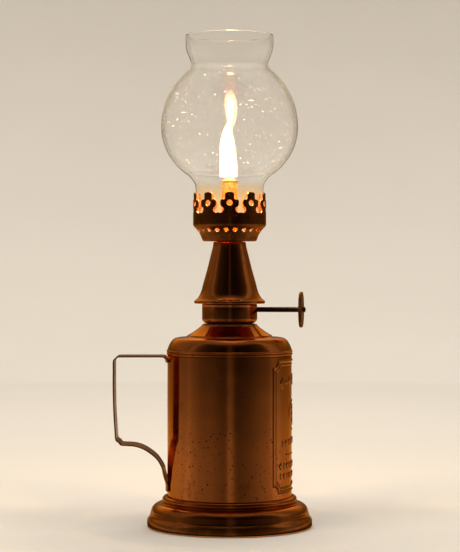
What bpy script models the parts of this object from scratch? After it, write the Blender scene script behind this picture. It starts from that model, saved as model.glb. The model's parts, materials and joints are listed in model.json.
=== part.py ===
"""Small brass oil lamp: weighted foot, packed cylindrical reservoir with a strap handle, a screwed
burner with its wick winder, a pierced crown gallery and a blown glass globe.

Frame: +Z up, origin under the centre of the foot, lamp axis on Z, handle towards -X, winder knob
towards +X. The script works in metres; the sizes below are written in millimetres times MM.
"""
import math

import bmesh
import bpy
from mathutils import Matrix, Vector

MM = 0.001

# Fits and sheet
FIT_GAP = 0.3 * MM              # between two pieces that touch on the real lamp
SHEET = 0.5 * MM                # brass sheet of the drawn and spun shells
MERGE = 0.00001                 # weld distance of the Screw modifiers

# Foot and reservoir
BODY_RADIUS = 31.7 * MM
BODY_HEIGHT = 71.1 * MM         # wall between the foot's bead and the seam of the shoulder
FOOT_SHEET = 0.8 * MM
FOOT_FLARE = 10.3 * MM          # how far the rim of the foot stands out from the body wall
FOOT_HEIGHT = 15.8 * MM
FOOT_RIM_HEIGHT = 3.6 * MM
FOOT_BEAD_WIDTH = 2.5 * MM
FOOT_BEAD_HEIGHT = 4.0 * MM
BOTTOM_THICKNESS = 0.8 * MM
BALLAST_HEIGHT = 7.0 * MM
BALLAST_SLOPE = 2.8 * MM        # height of its sloped edge, under the flare of the foot
BODY_TUCK = 5.5 * MM            # length of body wall hidden inside the foot
FLOOR_RIM = 2.3 * MM
FELT_COUNT = 6
FELT_CLEARANCE = 2.0 * MM       # between the packing and the wick
FELT_HEADROOM = 5.0 * MM

# Shoulder of the reservoir
SEAM_HEIGHT = 2.4 * MM
SEAM_PROUD = 0.4 * MM           # how far the two ridges of the seam stand out
SEAM_SKIRT = 4.0 * MM           # skirt of the shoulder inside the body
DOME_HEIGHT = 7.6 * MM          # from the seam to the crease
CREASE_RISE = 1.3 * MM
CREASE_INSET = 10.3 * MM        # how far the crease lies inside the body wall
NECK_CONE_HEIGHT = 5.5 * MM     # from the crease to the lip around the gasket
NECK_LIP = 0.8 * MM

# Screw thread between burner and reservoir
THREAD_RADIUS = 10.0 * MM
THREAD_PITCH = 1.5 * MM
THREAD_WAVE = 0.25 * MM         # half of the thread's depth
THREAD_CLEARANCE = 0.3 * MM
THREAD_LENGTH = 6.0 * MM
THREAD_ROWS = 4                 # mesh rows in one pitch
NECK_RING_WALL = 1.0 * MM
NECK_FLANGE = 1.6 * MM
GASKET_WIDTH = 2.6 * MM
GASKET_THICKNESS = 0.8 * MM

# Burner
DRUM_MARGIN = 4.05 * MM         # drum wall outside the thread
DRUM_HEIGHT = 9.7 * MM
DRUM_CORNER = 2.5 * MM
PLUG_WALL = 1.1 * MM
PLUG_FLOOR = 1.0 * MM
CONE_FLANGE = 4.05 * MM         # cone flange outside the drum
CONE_HEIGHT = 31.4 * MM
CONE_FLARE_HEIGHT = 7.5 * MM
CONE_SHEET = 0.6 * MM
AIR_GAP = 2.15 * MM             # draught space between wick tube and gallery stub
STUB_HEIGHT = 5.7 * MM
CONE_LAND = 1.6 * MM            # ledge that the gallery stands on

# Wick and its winder
WICK_RADIUS = 3.2 * MM
WICK_CLEARANCE = 0.35 * MM
WICK_SHOWING = 1.0 * MM
WICK_ABOVE_FLOOR = 9.0 * MM     # lower end of the wick over the floor of the tank
TUBE_WALL = 0.4 * MM
TUBE_ABOVE_CONE = 31.8 * MM
TUBE_LIP = 0.8 * MM
TUBE_LIP_PROUD = 0.6 * MM
TUBE_BELOW_PLUG = 0.8 * MM
SPINDLE_RADIUS = 1.3 * MM
SPINDLE_TURNED = math.radians(-7.0)     # heading of the knob, from +X
SPINDLE_BELOW_CONE = 3.2 * MM
SPINDLE_TAIL = 8.2 * MM
SPROCKET_RADIUS = 2.8 * MM
SPROCKET_ROOT = 2.2 * MM
SPROCKET_THICKNESS = 1.6 * MM
SPROCKET_TEETH = 10
SLOT_CLEARANCE = 0.5 * MM
BUSH_WALL = 0.7 * MM
BUSH_LENGTH = 2.5 * MM
BRACKET_THICKNESS = 0.8 * MM
BRACKET_WIDTH = 6.0 * MM
KNOB_RADIUS = 9.15 * MM
KNOB_THICKNESS = 1.6 * MM
KNOB_REACH = 36.0 * MM          # middle of the knob, along the spindle
KNOB_BEVEL = 0.3 * MM
RIVET_RADIUS = 1.6 * MM
RIVET_SHANK = 1.0 * MM
RIVET_HEIGHT = 1.2 * MM

# Globe
GLOBE_NECK_RADIUS = 17.2 * MM
GLOBE_NECK_HEIGHT = 18.5 * MM
GLOBE_RADIUS = 34.8 * MM
GLOBE_DROP = 30.8 * MM          # half height of the lower half of the bulb
GLOBE_RISE = 36.5 * MM          # half height of the upper half
GLOBE_WAIST_RADIUS = 19.6 * MM
GLOBE_RIM_RADIUS = 22.4 * MM
GLOBE_COLLAR_HEIGHT = 14.9 * MM
NECK_FILLET = 2.3 * MM          # neck to bulb, sideways
NECK_FILLET_RISE = 6.0 * MM
WAIST_FILLET = 1.6 * MM         # bulb to waist, sideways
WAIST_FILLET_RISE = 3.1 * MM
GLASS = 1.3 * MM

# Gallery
NECK_CLEARANCE = 0.9 * MM       # globe neck inside the crown
GALLERY_BASE_INSET = 5.2 * MM   # base of the bowl inside the crown's radius
BOWL_HEIGHT = 8.2 * MM
BAND_HEIGHT = 5.4 * MM          # plain band under the fleurons
FLEURON_COUNT = 10
FLEURON_HEIGHT = 10.8 * MM
TAB_WIDTH = 4.5 * MM
TAB_HEIGHT = 3.3 * MM
BULB_WIDTH = 9.3 * MM
WAIST_WIDTH = 5.5 * MM
FLEURON_HOLE = 1.5 * MM         # radius
FLEURON_EYE = 5.4 * MM          # widest part of a fleuron, and its hole, above the band
BOWL_HOLE = 1.25 * MM           # radius
BOWL_HOLE_RISE = 5.5 * MM       # above the base of the bowl
BOWL_HOLES = 22
BOWL_HOLE_PHASE = math.radians(10.0)    # first bowl hole, from the front fleuron
FLOOR_HOLE = 0.9 * MM           # radius
FLOOR_HOLES = 12
COLLAR_HEIGHT = 4.4 * MM

# Handle
HANDLE_WIDTH = 18.0 * MM
HANDLE_SHEET = 0.7 * MM
HANDLE_REACH = 27.0 * MM        # from the body wall to the middle of the grip
HANDLE_CORNER = 2.2 * MM
HANDLE_TAB = 3.0 * MM
HANDLE_FOOT_GAP = 2.5 * MM      # lower end above the foot's bead
HANDLE_BEND_HEIGHT = 23.6 * MM  # lower bend of the grip above the lower end
HANDLE_HUG = 8.0 * MM           # length over which the strap takes the curve of the body
HANDLE_COLUMNS = 6

# Worked out from the sizes above
FOOT_RADIUS = BODY_RADIUS + FOOT_FLARE
BODY_BOTTOM = FOOT_HEIGHT - BODY_TUCK
BODY_TOP = FOOT_HEIGHT + BODY_HEIGHT
BODY_BORE = BODY_RADIUS - SHEET
TANK_FLOOR = BODY_BOTTOM + FLOOR_RIM
SEAM_BOTTOM = BODY_TOP + FIT_GAP
SEAM_TOP = SEAM_BOTTOM + SEAM_HEIGHT
CREASE_Z = SEAM_TOP + DOME_HEIGHT
LIP_Z = CREASE_Z + NECK_CONE_HEIGHT
LEDGE_Z = LIP_Z - NECK_LIP

PLUG_CREST = THREAD_RADIUS + THREAD_WAVE
NUT_RADIUS = THREAD_RADIUS + THREAD_CLEARANCE
NECK_RING_RADIUS = NUT_RADIUS + THREAD_WAVE + NECK_RING_WALL
NECK_HOLE = NECK_RING_RADIUS + FIT_GAP
GASKET_BORE = PLUG_CREST + FIT_GAP
GASKET_RADIUS = GASKET_BORE + GASKET_WIDTH
LIP_RADIUS = GASKET_RADIUS + FIT_GAP + SHEET
GASKET_Z = LEDGE_Z + FIT_GAP
DRUM_BOTTOM = GASKET_Z + GASKET_THICKNESS + FIT_GAP
DRUM_RADIUS = THREAD_RADIUS + DRUM_MARGIN
DRUM_TOP = DRUM_BOTTOM + DRUM_HEIGHT
PLUG_SPIGOT = THREAD_RADIUS - THREAD_WAVE - SHEET
PLUG_BORE = THREAD_RADIUS - THREAD_WAVE - PLUG_WALL
PLUG_TOP = DRUM_BOTTOM - FIT_GAP
PLUG_BOTTOM = PLUG_TOP - THREAD_LENGTH - THREAD_PITCH

CONE_Z = DRUM_TOP + FIT_GAP
CONE_TOP = CONE_Z + CONE_HEIGHT
CONE_RADIUS = DRUM_RADIUS + CONE_FLANGE
TUBE_BORE = WICK_RADIUS + WICK_CLEARANCE
TUBE_RADIUS = TUBE_BORE + TUBE_WALL
TUBE_HOLE = TUBE_RADIUS + FIT_GAP
FELT_BORE = WICK_RADIUS + FELT_CLEARANCE
WICK_BOTTOM = TANK_FLOOR + SHEET + WICK_ABOVE_FLOOR
TUBE_TOP = CONE_TOP + TUBE_ABOVE_CONE
STUB_RADIUS = TUBE_RADIUS + AIR_GAP + CONE_SHEET
STUB_TOP = CONE_TOP + STUB_HEIGHT
CONE_TOP_RADIUS = STUB_RADIUS + CONE_LAND

SPINDLE_Z = CONE_Z - SPINDLE_BELOW_CONE
SPINDLE_OFFSET = WICK_RADIUS + FIT_GAP + SPROCKET_RADIUS
SPINDLE_BORE = SPINDLE_RADIUS + FIT_GAP
BUSH_RADIUS = SPINDLE_BORE + BUSH_WALL
KNOB_FACE = KNOB_REACH - KNOB_THICKNESS / 2

CROWN_RADIUS = GLOBE_NECK_RADIUS + NECK_CLEARANCE + SHEET
GALLERY_Z = CONE_TOP + FIT_GAP
BAND_Z = GALLERY_Z + BOWL_HEIGHT
FLEURON_Z = BAND_Z + BAND_HEIGHT
CROWN_TOP = FLEURON_Z + FLEURON_HEIGHT
BOWL_RADIUS = CROWN_RADIUS - GALLERY_BASE_INSET
COLLAR_BORE = STUB_RADIUS + FIT_GAP
GALLERY_FLOOR_Z = GALLERY_Z + SHEET + FIT_GAP
GLOBE_BOTTOM = BAND_Z - FIT_GAP
GLOBE_NECK_TOP = GLOBE_BOTTOM + GLOBE_NECK_HEIGHT


# ---------------------------------------------------------------- scene and materials

def clear_scene():
    for old in list(bpy.data.objects):
        bpy.data.objects.remove(old, do_unlink=True)


def new_collection(name):
    collection = bpy.data.collections.new(name)
    bpy.context.scene.collection.children.link(collection)
    return collection


def new_material(name, colour, roughness, metallic, transmission=0.0):
    material = bpy.data.materials.new(name)
    material.use_nodes = True
    shader = material.node_tree.nodes["Principled BSDF"]
    shader.inputs["Base Color"].default_value = (*colour, 1.0)
    shader.inputs["Roughness"].default_value = roughness
    shader.inputs["Metallic"].default_value = metallic
    shader.inputs["Transmission Weight"].default_value = transmission
    return material


def body_frame(name, parent=None):
    """An empty for one moving group; its pieces and the groups that it carries hang from it."""
    empty = bpy.data.objects.new(name, None)
    PARTS.objects.link(empty)
    empty.parent = parent
    return empty


def add_object(name, mesh, material=None, parent=None, collection=None):
    piece = bpy.data.objects.new(name, mesh)
    (collection or PARTS).objects.link(piece)
    piece.parent = parent
    if material:
        mesh.materials.append(material)
    return piece


def as_cutter(piece):
    piece.hide_render = True
    piece.display_type = "WIRE"
    return piece


def cut(piece, cutter):
    modifier = piece.modifiers.new("cut", "BOOLEAN")
    modifier.operation = "DIFFERENCE"
    modifier.solver = "EXACT"
    modifier.object = cutter


def evaluated_mesh(piece):
    bpy.context.view_layer.update()
    graph = bpy.context.evaluated_depsgraph_get()
    return bpy.data.meshes.new_from_object(piece.evaluated_get(graph))


# ---------------------------------------------------------------- shapes

def arc(start, end, bulge, count):
    """Points on the circle through start and end that stands clear of their chord by bulge.

    A positive bulge is on the left of the way from start to end, so it is outward on a profile
    that runs down its outer side. Both ends are included.
    """
    first = Vector(start)
    last = Vector(end)
    half = (last - first).length / 2
    along = (last - first).normalized()
    left = Vector((-along.y, along.x))
    radius = (half * half + bulge * bulge) / (2 * bulge)
    swing = 2 * math.atan(bulge / half)
    centre = (first + last) / 2 - left * (radius - bulge)
    points = []
    for i in range(count + 1):
        turn = swing * (2 * i / count - 1)
        points.append(tuple(centre + radius * (math.cos(turn) * left + math.sin(turn) * along)))
    return points


def rounded_path(corners, radius, count):
    """An open path through the corners, with every inner corner rounded to the radius."""
    path = [corners[0]]
    for before, corner, after in zip(corners, corners[1:], corners[2:]):
        here = Vector(corner)
        back = (Vector(before) - here).normalized()
        ahead = (Vector(after) - here).normalized()
        opening = back.angle(ahead)
        trim = radius / math.tan(opening / 2)
        bulge = radius * (1 - math.sin(opening / 2))
        side = -1.0 if back.x * ahead.y - back.y * ahead.x > 0 else 1.0
        path += arc(here + back * trim, here + ahead * trim, bulge * side, count)
    path.append(corners[-1])
    return path


def profile_mesh(name, points, closed):
    mesh = bpy.data.meshes.new(name)
    edges = [(i, i + 1) for i in range(len(points) - 1)]
    if closed:
        edges.append((len(points) - 1, 0))
    mesh.from_pydata([(r, 0.0, z) for r, z in points], edges, [])
    return mesh


def spin(piece, steps):
    screw = piece.modifiers.new("spin", "SCREW")
    screw.axis = "Z"
    screw.steps = steps
    screw.render_steps = steps
    screw.use_merge_vertices = True
    screw.merge_threshold = MERGE
    screw.use_smooth_shade = True


def turned(name, points, material, parent, steps=40):
    """A solid of revolution: the points run down its outer side, then back up its bore if it has one."""
    solid = points[0][0] == 0 and points[-1][0] == 0
    piece = add_object(name, profile_mesh(name, points, closed=not solid), material, parent)
    spin(piece, steps)
    return piece


def spun_shell(name, points, thickness, material, parent, steps=40):
    """A sheet of even thickness: the points run down its outer side and the metal lies within."""
    piece = add_object(name, profile_mesh(name, points, closed=False), material, parent)
    spin(piece, steps)
    sheet = piece.modifiers.new("sheet", "SOLIDIFY")
    sheet.thickness = thickness
    sheet.offset = -1.0
    sheet.use_even_offset = True
    sheet.use_quality_normals = True
    return piece


def ring_profile(outer, bore, low, high):
    return [(outer, high), (outer, low), (bore, low), (bore, high)]


def circle(radius, count, centre=(0.0, 0.0)):
    turns = [2 * math.pi * i / count for i in range(count)]
    return [(centre[0] + radius * math.cos(t), centre[1] + radius * math.sin(t)) for t in turns]


def outline_mesh(name, outlines, thickness):
    """A plate with the first outline as its edge and the others as holes, centred on its own XY plane."""
    drawing = bpy.data.curves.new(name, "CURVE")
    drawing.dimensions = "2D"
    drawing.fill_mode = "BOTH"
    drawing.extrude = thickness / 2
    for outline in outlines:
        spline = drawing.splines.new("POLY")
        spline.points.add(len(outline) - 1)
        for point, (x, y) in zip(spline.points, outline):
            point.co = (x, y, 0.0, 1.0)
        spline.use_cyclic_u = True
    sketch = add_object(name + "_sketch", drawing, collection=CUTTERS)
    mesh = evaluated_mesh(sketch)
    bpy.data.objects.remove(sketch, do_unlink=True)
    solid = bmesh.new()
    solid.from_mesh(mesh)
    bmesh.ops.remove_doubles(solid, verts=solid.verts, dist=MERGE)
    bmesh.ops.recalc_face_normals(solid, faces=solid.faces)
    solid.to_mesh(mesh)
    solid.free()
    mesh.name = name
    return mesh


def cylinder_mesh(name, radius, length, count):
    mesh = bpy.data.meshes.new(name)
    solid = bmesh.new()
    bmesh.ops.create_cone(solid, cap_ends=True, segments=count, radius1=radius, radius2=radius,
                          depth=length)
    solid.to_mesh(mesh)
    solid.free()
    return mesh


def ring_of(name, stencils):
    """One cutter made of copies around the lamp axis: (mesh, count, first heading, place) each.

    A stencil's own Z becomes the outward direction and its own Y becomes up.
    """
    solid = bmesh.new()
    for mesh, count, first, place in stencils:
        for i in range(count):
            heading = Matrix.Rotation(first + 2 * math.pi * i / count, 4, "Z")
            outward = Matrix(((0, 0, 1, 0), (1, 0, 0, 0), (0, 1, 0, 0), (0, 0, 0, 1)))
            copy = mesh.copy()
            copy.transform(heading @ Matrix.Translation(place) @ outward)
            solid.from_mesh(copy)
            bpy.data.meshes.remove(copy)
    joined = bpy.data.meshes.new(name)
    solid.to_mesh(joined)
    solid.free()
    return as_cutter(add_object(name, joined, collection=CUTTERS))


def roll_thread(piece, radius, low, high, run_out):
    """Press a right-hand helical wave into the wall of this radius between two heights.

    run_out is the side to which the wave fades at both ends: -1 inward and 1 outward.
    """
    mesh = evaluated_mesh(piece)
    piece.modifiers.clear()
    for vertex in mesh.vertices:
        x, y, z = vertex.co
        on_wall = abs(math.hypot(x, y) - radius) < MERGE
        if not on_wall or z < low - MERGE or z > high + MERGE:
            continue
        turn = math.atan2(y, x)
        full = max(0.0, min(1.0, (z - low) / THREAD_PITCH, (high - z) / THREAD_PITCH))
        wave = math.cos(2 * math.pi * z / THREAD_PITCH - turn)
        new_radius = radius + THREAD_WAVE * (full * wave + (1 - full) * run_out)
        vertex.co.x = new_radius * math.cos(turn)
        vertex.co.y = new_radius * math.sin(turn)
    piece.data = mesh


def thread_rows(radius, low, high):
    count = round((high - low) / THREAD_PITCH * THREAD_ROWS)
    return [(radius, high + (low - high) * i / count) for i in range(count + 1)]


# ---------------------------------------------------------------- foot and reservoir

def make_foot(parent):
    bead = BODY_RADIUS + FOOT_BEAD_WIDTH
    bead_foot = FOOT_HEIGHT - FOOT_BEAD_HEIGHT
    rim_step = 0.6 * MM
    skirt_top = bead + 2.4 * MM
    profile = [(BODY_RADIUS + FIT_GAP, FOOT_HEIGHT)]
    profile += arc((bead - 1.2 * MM, FOOT_HEIGHT), (bead, bead_foot + 1.4 * MM), 0.8 * MM, 2)
    profile += arc((skirt_top - 1.3 * MM, bead_foot + 0.2 * MM),
                   (FOOT_RADIUS - 1.3 * MM, FOOT_HEIGHT - 9.2 * MM), 1.15 * MM, 3)
    profile.append((FOOT_RADIUS - 0.2 * MM, FOOT_RIM_HEIGHT + rim_step))
    profile.append((FOOT_RADIUS, FOOT_RIM_HEIGHT))
    profile.append((FOOT_RADIUS, 0.0))
    spun_shell("foot_shell", profile, FOOT_SHEET, BRASS, parent, steps=32)

    inside = FOOT_RADIUS - FOOT_SHEET - FIT_GAP
    turned("bottom_plate", [(0, BOTTOM_THICKNESS), (inside, BOTTOM_THICKNESS), (inside, 0), (0, 0)],
           BRASS, parent)
    low = BOTTOM_THICKNESS + FIT_GAP
    high = low + BALLAST_HEIGHT
    turned("ballast_weight",
           [(0, high), (BODY_RADIUS - 1.0 * MM, high), (inside - 2.5 * MM, high - BALLAST_SLOPE),
            (inside - 1.0 * MM, low), (0, low)], LEAD, parent, steps=32)


def make_reservoir(parent):
    turned("reservoir_shell", ring_profile(BODY_RADIUS, BODY_BORE, BODY_BOTTOM, BODY_TOP),
           BRASS, parent, steps=40)
    rim = BODY_BORE - FIT_GAP
    floor_top = TANK_FLOOR + SHEET
    turned("reservoir_floor",
           [(0, floor_top), (rim - 0.5 * MM, floor_top), (rim, floor_top - 0.5 * MM),
            (rim, BODY_BOTTOM), (rim - SHEET, BODY_BOTTOM), (rim - SHEET, TANK_FLOOR),
            (0, TANK_FLOOR)], BRASS, parent, steps=32)

    packing_low = floor_top + FIT_GAP
    packing_high = SEAM_BOTTOM - SEAM_SKIRT - FELT_HEADROOM
    layer = (packing_high - packing_low) / FELT_COUNT
    for i in range(FELT_COUNT):
        low = packing_low + layer * i
        turned("felt_ring_%d" % (i + 1),
               ring_profile(rim, FELT_BORE, low, low + layer - FIT_GAP), FELT, parent, steps=16)


def make_shoulder(parent):
    crease = BODY_RADIUS - CREASE_INSET
    proud = BODY_RADIUS + SEAM_PROUD
    ridge = SEAM_HEIGHT / 4
    profile = [(NECK_HOLE, LEDGE_Z), (LIP_RADIUS - SHEET, LEDGE_Z), (LIP_RADIUS - SHEET, LIP_Z)]
    profile += [(LIP_RADIUS, LIP_Z), (crease, CREASE_Z)]
    profile.append((BODY_RADIUS - 5.7 * MM, CREASE_Z - CREASE_RISE))
    profile += arc((BODY_RADIUS - 3.7 * MM, SEAM_TOP + 6.1 * MM),
                   (BODY_RADIUS - 1.2 * MM, SEAM_TOP + 2.4 * MM), 0.5 * MM, 2)
    profile.append((BODY_RADIUS + 0.1 * MM, SEAM_TOP + 0.2 * MM))
    profile += [(proud, SEAM_TOP - ridge * 0.6), (BODY_RADIUS, SEAM_TOP - ridge * 2)]
    profile += [(proud, SEAM_TOP - ridge * 3.2), (BODY_RADIUS + 0.2 * MM, SEAM_BOTTOM)]
    skirt = BODY_BORE - FIT_GAP
    profile += [(skirt, SEAM_BOTTOM), (skirt, SEAM_BOTTOM - SEAM_SKIRT)]
    spun_shell("reservoir_shoulder", profile, SHEET, BRASS, parent, steps=30)


def make_neck_ring(parent):
    """The nut of the screw joint, soldered under the ledge of the shoulder."""
    top = LEDGE_Z
    flange_top = LEDGE_Z - SHEET - FIT_GAP
    flange = NECK_RING_RADIUS + NECK_FLANGE
    bottom = top - THREAD_LENGTH - THREAD_PITCH / 2
    bore = list(reversed(thread_rows(NUT_RADIUS, bottom, top)))
    profile = [(NECK_RING_RADIUS, top), (NECK_RING_RADIUS, flange_top), (flange, flange_top),
               (flange, flange_top - 0.8 * MM), (NECK_RING_RADIUS, flange_top - 0.8 * MM),
               (NECK_RING_RADIUS, bottom)]
    ring = turned("neck_ring", profile + bore, BRASS, parent, steps=16)
    roll_thread(ring, NUT_RADIUS, bottom, top, 1)


def handle_path():
    """Side view of the strap, (x, z), from the tab under the seam round the grip to the lower end."""
    wall = -(BODY_RADIUS + FIT_GAP + HANDLE_SHEET / 2)
    grip = -(BODY_RADIUS + HANDLE_REACH)
    top = SEAM_BOTTOM - FIT_GAP - HANDLE_SHEET / 2
    low = FOOT_HEIGHT + HANDLE_FOOT_GAP
    bend = low + HANDLE_BEND_HEIGHT
    grip_bow = 1.4 * MM
    upper = rounded_path([(wall, top - HANDLE_TAB), (wall, top), (grip, top),
                          (grip - 0.2 * MM, top - 15.0 * MM)], HANDLE_CORNER * 0.7, 3)[:-1]
    lower = rounded_path([(grip + 0.6 * MM, bend + 12.0 * MM), (grip + grip_bow, bend),
                          (grip + 11.0 * MM, bend)], HANDLE_CORNER, 3)[:-1]
    scroll = arc((wall - 16.6 * MM, bend - 0.2 * MM), (wall - 4.2 * MM, low + 15.9 * MM), 1.5 * MM, 4)
    sweep = arc((wall - 1.9 * MM, low + 11.4 * MM), (wall, low + 4.0 * MM), -0.4 * MM, 3)
    return upper + lower + scroll + sweep + [(wall, low)]


def make_handle(parent):
    """A flat strap bent in one plane, whose two ends take the curve of the body wall."""
    path = handle_path()
    rows = len(path) - 1
    mesh = bpy.data.meshes.new("handle_strap")
    strap = bmesh.new()
    bmesh.ops.create_grid(strap, x_segments=rows, y_segments=HANDLE_COLUMNS, size=0.5)
    wall = BODY_RADIUS + FIT_GAP + HANDLE_SHEET / 2
    for vertex in strap.verts:
        x, z = path[round((vertex.co.x + 0.5) * rows)]
        y = vertex.co.y * HANDLE_WIDTH
        hug = max(0.0, min(1.0, 1 - (-x - wall) / HANDLE_HUG))
        sag = wall - math.sqrt(wall * wall - y * y)
        vertex.co = (x + hug * sag, y, z)
    strap.to_mesh(mesh)
    strap.free()
    piece = add_object("handle_strap", mesh, BRASS, parent)
    sheet = piece.modifiers.new("sheet", "SOLIDIFY")
    sheet.thickness = HANDLE_SHEET
    sheet.offset = 0.0
    sheet.use_even_offset = True


# ---------------------------------------------------------------- burner

def make_gasket(parent):
    turned("neck_gasket",
           ring_profile(GASKET_RADIUS, GASKET_BORE, GASKET_Z, GASKET_Z + GASKET_THICKNESS),
           LEATHER, parent, steps=24)


def make_burner(parent, spindle_frame):
    corner = DRUM_CORNER
    bulge = corner * (1 - math.cos(math.pi / 4))
    profile = [(DRUM_RADIUS, DRUM_TOP)]
    profile += arc((DRUM_RADIUS, DRUM_BOTTOM + corner), (DRUM_RADIUS - corner, DRUM_BOTTOM), bulge, 2)
    profile.append((PLUG_SPIGOT + FIT_GAP, DRUM_BOTTOM))
    drum = spun_shell("burner_drum", profile, SHEET, BRASS, parent, steps=24)
    bore = as_cutter(add_object("spindle_hole", cylinder_mesh("spindle_hole", BUSH_RADIUS + FIT_GAP,
                                                              DRUM_RADIUS, 20),
                                parent=spindle_frame, collection=CUTTERS))
    bore.location.z = DRUM_RADIUS
    cut(drum, bore)

    flange_low = DRUM_BOTTOM + SHEET + FIT_GAP
    rows = thread_rows(THREAD_RADIUS, PLUG_BOTTOM, PLUG_TOP)
    profile = [(PLUG_SPIGOT + 1.2 * MM, flange_low + 0.7 * MM), (PLUG_SPIGOT + 1.2 * MM, flange_low),
               (PLUG_SPIGOT, flange_low), (PLUG_SPIGOT, PLUG_TOP)]
    profile += rows + [(TUBE_HOLE, PLUG_BOTTOM), (TUBE_HOLE, PLUG_BOTTOM + PLUG_FLOOR),
                       (PLUG_BORE, PLUG_BOTTOM + PLUG_FLOOR), (PLUG_BORE, flange_low + 0.7 * MM)]
    plug = turned("threaded_plug", profile, BRASS, parent, steps=16)
    roll_thread(plug, THREAD_RADIUS, PLUG_BOTTOM, PLUG_TOP, -1)

    lid_radius = CONE_RADIUS - CONE_SHEET - FIT_GAP
    turned("drum_lid", ring_profile(lid_radius, TUBE_HOLE, CONE_Z, CONE_Z + SHEET), BRASS, parent,
           steps=24)

    flare = CONE_FLARE_HEIGHT
    bead = 1.1 * MM
    profile = [(STUB_RADIUS, STUB_TOP), (STUB_RADIUS, CONE_TOP),
               (CONE_TOP_RADIUS - 0.3 * MM, CONE_TOP), (CONE_TOP_RADIUS, CONE_TOP - 0.5 * MM),
               (CONE_TOP_RADIUS, CONE_TOP - bead), (CONE_TOP_RADIUS + 0.25 * MM, CONE_TOP - 2.5 * MM)]
    profile += arc((CONE_RADIUS - 4.0 * MM, CONE_Z + flare), (CONE_RADIUS, CONE_Z + 1.0 * MM),
                   -0.45 * MM, 3)
    profile.append((CONE_RADIUS, CONE_Z))
    spun_shell("burner_cone", profile, CONE_SHEET, BRASS, parent, steps=24)

    bottom = PLUG_BOTTOM - TUBE_BELOW_PLUG
    lip = TUBE_RADIUS + TUBE_LIP_PROUD
    tube = turned("wick_tube", [(TUBE_RADIUS, TUBE_TOP), (lip, TUBE_TOP - 0.2 * MM),
                                (lip, TUBE_TOP - TUBE_LIP), (TUBE_RADIUS, TUBE_TOP - TUBE_LIP),
                                (TUBE_RADIUS, bottom), (TUBE_BORE, bottom), (TUBE_BORE, TUBE_TOP)],
                  BRASS, parent, steps=24)
    slot = as_cutter(add_object("sprocket_slot", bpy.data.meshes.new("sprocket_slot"),
                                parent=spindle_frame, collection=CUTTERS))
    block = bmesh.new()
    near = -SPINDLE_OFFSET + 1.0 * MM
    far = -SPINDLE_RADIUS
    size = (2 * SPROCKET_RADIUS, far - near, SPROCKET_THICKNESS + 2 * SLOT_CLEARANCE)
    bmesh.ops.create_cube(block, size=1.0, matrix=Matrix.Diagonal((*size, 1.0)))
    block.to_mesh(slot.data)
    block.free()
    slot.location.y = (near + far) / 2
    cut(tube, slot)


# ---------------------------------------------------------------- winder

def make_spindle_supports(parent, spindle_frame):
    """The bush in the drum wall and the bracket that carries the inner end. Both stay with the burner."""
    where = math.sqrt(DRUM_RADIUS ** 2 - SPINDLE_OFFSET ** 2)
    low = where - BUSH_LENGTH * 0.8
    place_on(turned("spindle_bush", ring_profile(BUSH_RADIUS, SPINDLE_BORE, low, low + BUSH_LENGTH),
                    BRASS, parent, steps=24), spindle_frame)

    foot = SPINDLE_Z - (DRUM_BOTTOM + SHEET + 2 * FIT_GAP + 0.7 * MM)
    half = BRACKET_WIDTH / 2
    top = arc((0.0, half), (0.0, -half), half * 0.85, 8)
    outline = [(-x, y) for x, y in top] + [(foot, -half), (foot, half)]
    mesh = outline_mesh("spindle_bracket", [outline, circle(SPINDLE_BORE, 16)], BRACKET_THICKNESS)
    bracket = add_object("spindle_bracket", mesh, BRASS, parent)
    bracket.location.z = -SPINDLE_TAIL + BRACKET_THICKNESS
    place_on(bracket, spindle_frame)


def place_on(piece, frame):
    """Stand a piece of another group in the frame of the spindle, keeping its own parent."""
    piece.matrix_world = frame.matrix_basis @ piece.matrix_basis


def make_winder(spindle_frame):
    end = KNOB_FACE - FIT_GAP
    tip = 0.4 * MM
    turned("spindle", [(0, end), (SPINDLE_RADIUS, end), (SPINDLE_RADIUS, tip - SPINDLE_TAIL),
                       (SPINDLE_RADIUS - tip, -SPINDLE_TAIL), (0, -SPINDLE_TAIL)],
           STEEL, spindle_frame, steps=20)

    teeth = []
    for i in range(2 * SPROCKET_TEETH):
        reach = SPROCKET_RADIUS if i % 2 == 0 else SPROCKET_ROOT
        turn = math.pi * i / SPROCKET_TEETH
        teeth.append((reach * math.cos(turn), reach * math.sin(turn)))
    mesh = outline_mesh("wick_sprocket", [teeth, circle(SPINDLE_BORE, 16)], SPROCKET_THICKNESS)
    add_object("wick_sprocket", mesh, STEEL, spindle_frame)

    high = KNOB_FACE + KNOB_THICKNESS
    bevel = KNOB_BEVEL
    hole = RIVET_SHANK + FIT_GAP
    turned("knob_disc", [(KNOB_RADIUS - bevel, high), (KNOB_RADIUS, high - bevel),
                         (KNOB_RADIUS, KNOB_FACE + bevel), (KNOB_RADIUS - bevel, KNOB_FACE),
                         (hole, KNOB_FACE), (hole, high)], BRASS, spindle_frame, steps=36)
    head = high + FIT_GAP
    turned("knob_rivet", [(0, head + RIVET_HEIGHT)]
           + arc((RIVET_RADIUS * 0.5, head + RIVET_HEIGHT), (RIVET_RADIUS, head), 0.25 * MM, 2)
           + [(RIVET_SHANK, head), (RIVET_SHANK, KNOB_FACE), (0, KNOB_FACE)],
           STEEL, spindle_frame, steps=20)


def make_wick(parent):
    top = TUBE_TOP + WICK_SHOWING
    edge = 0.4 * MM
    turned("wick", [(0, top), (WICK_RADIUS - edge, top), (WICK_RADIUS, top - edge),
                    (WICK_RADIUS, WICK_BOTTOM), (0, WICK_BOTTOM)],
           COTTON, parent, steps=20)


# ---------------------------------------------------------------- gallery and globe

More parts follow.
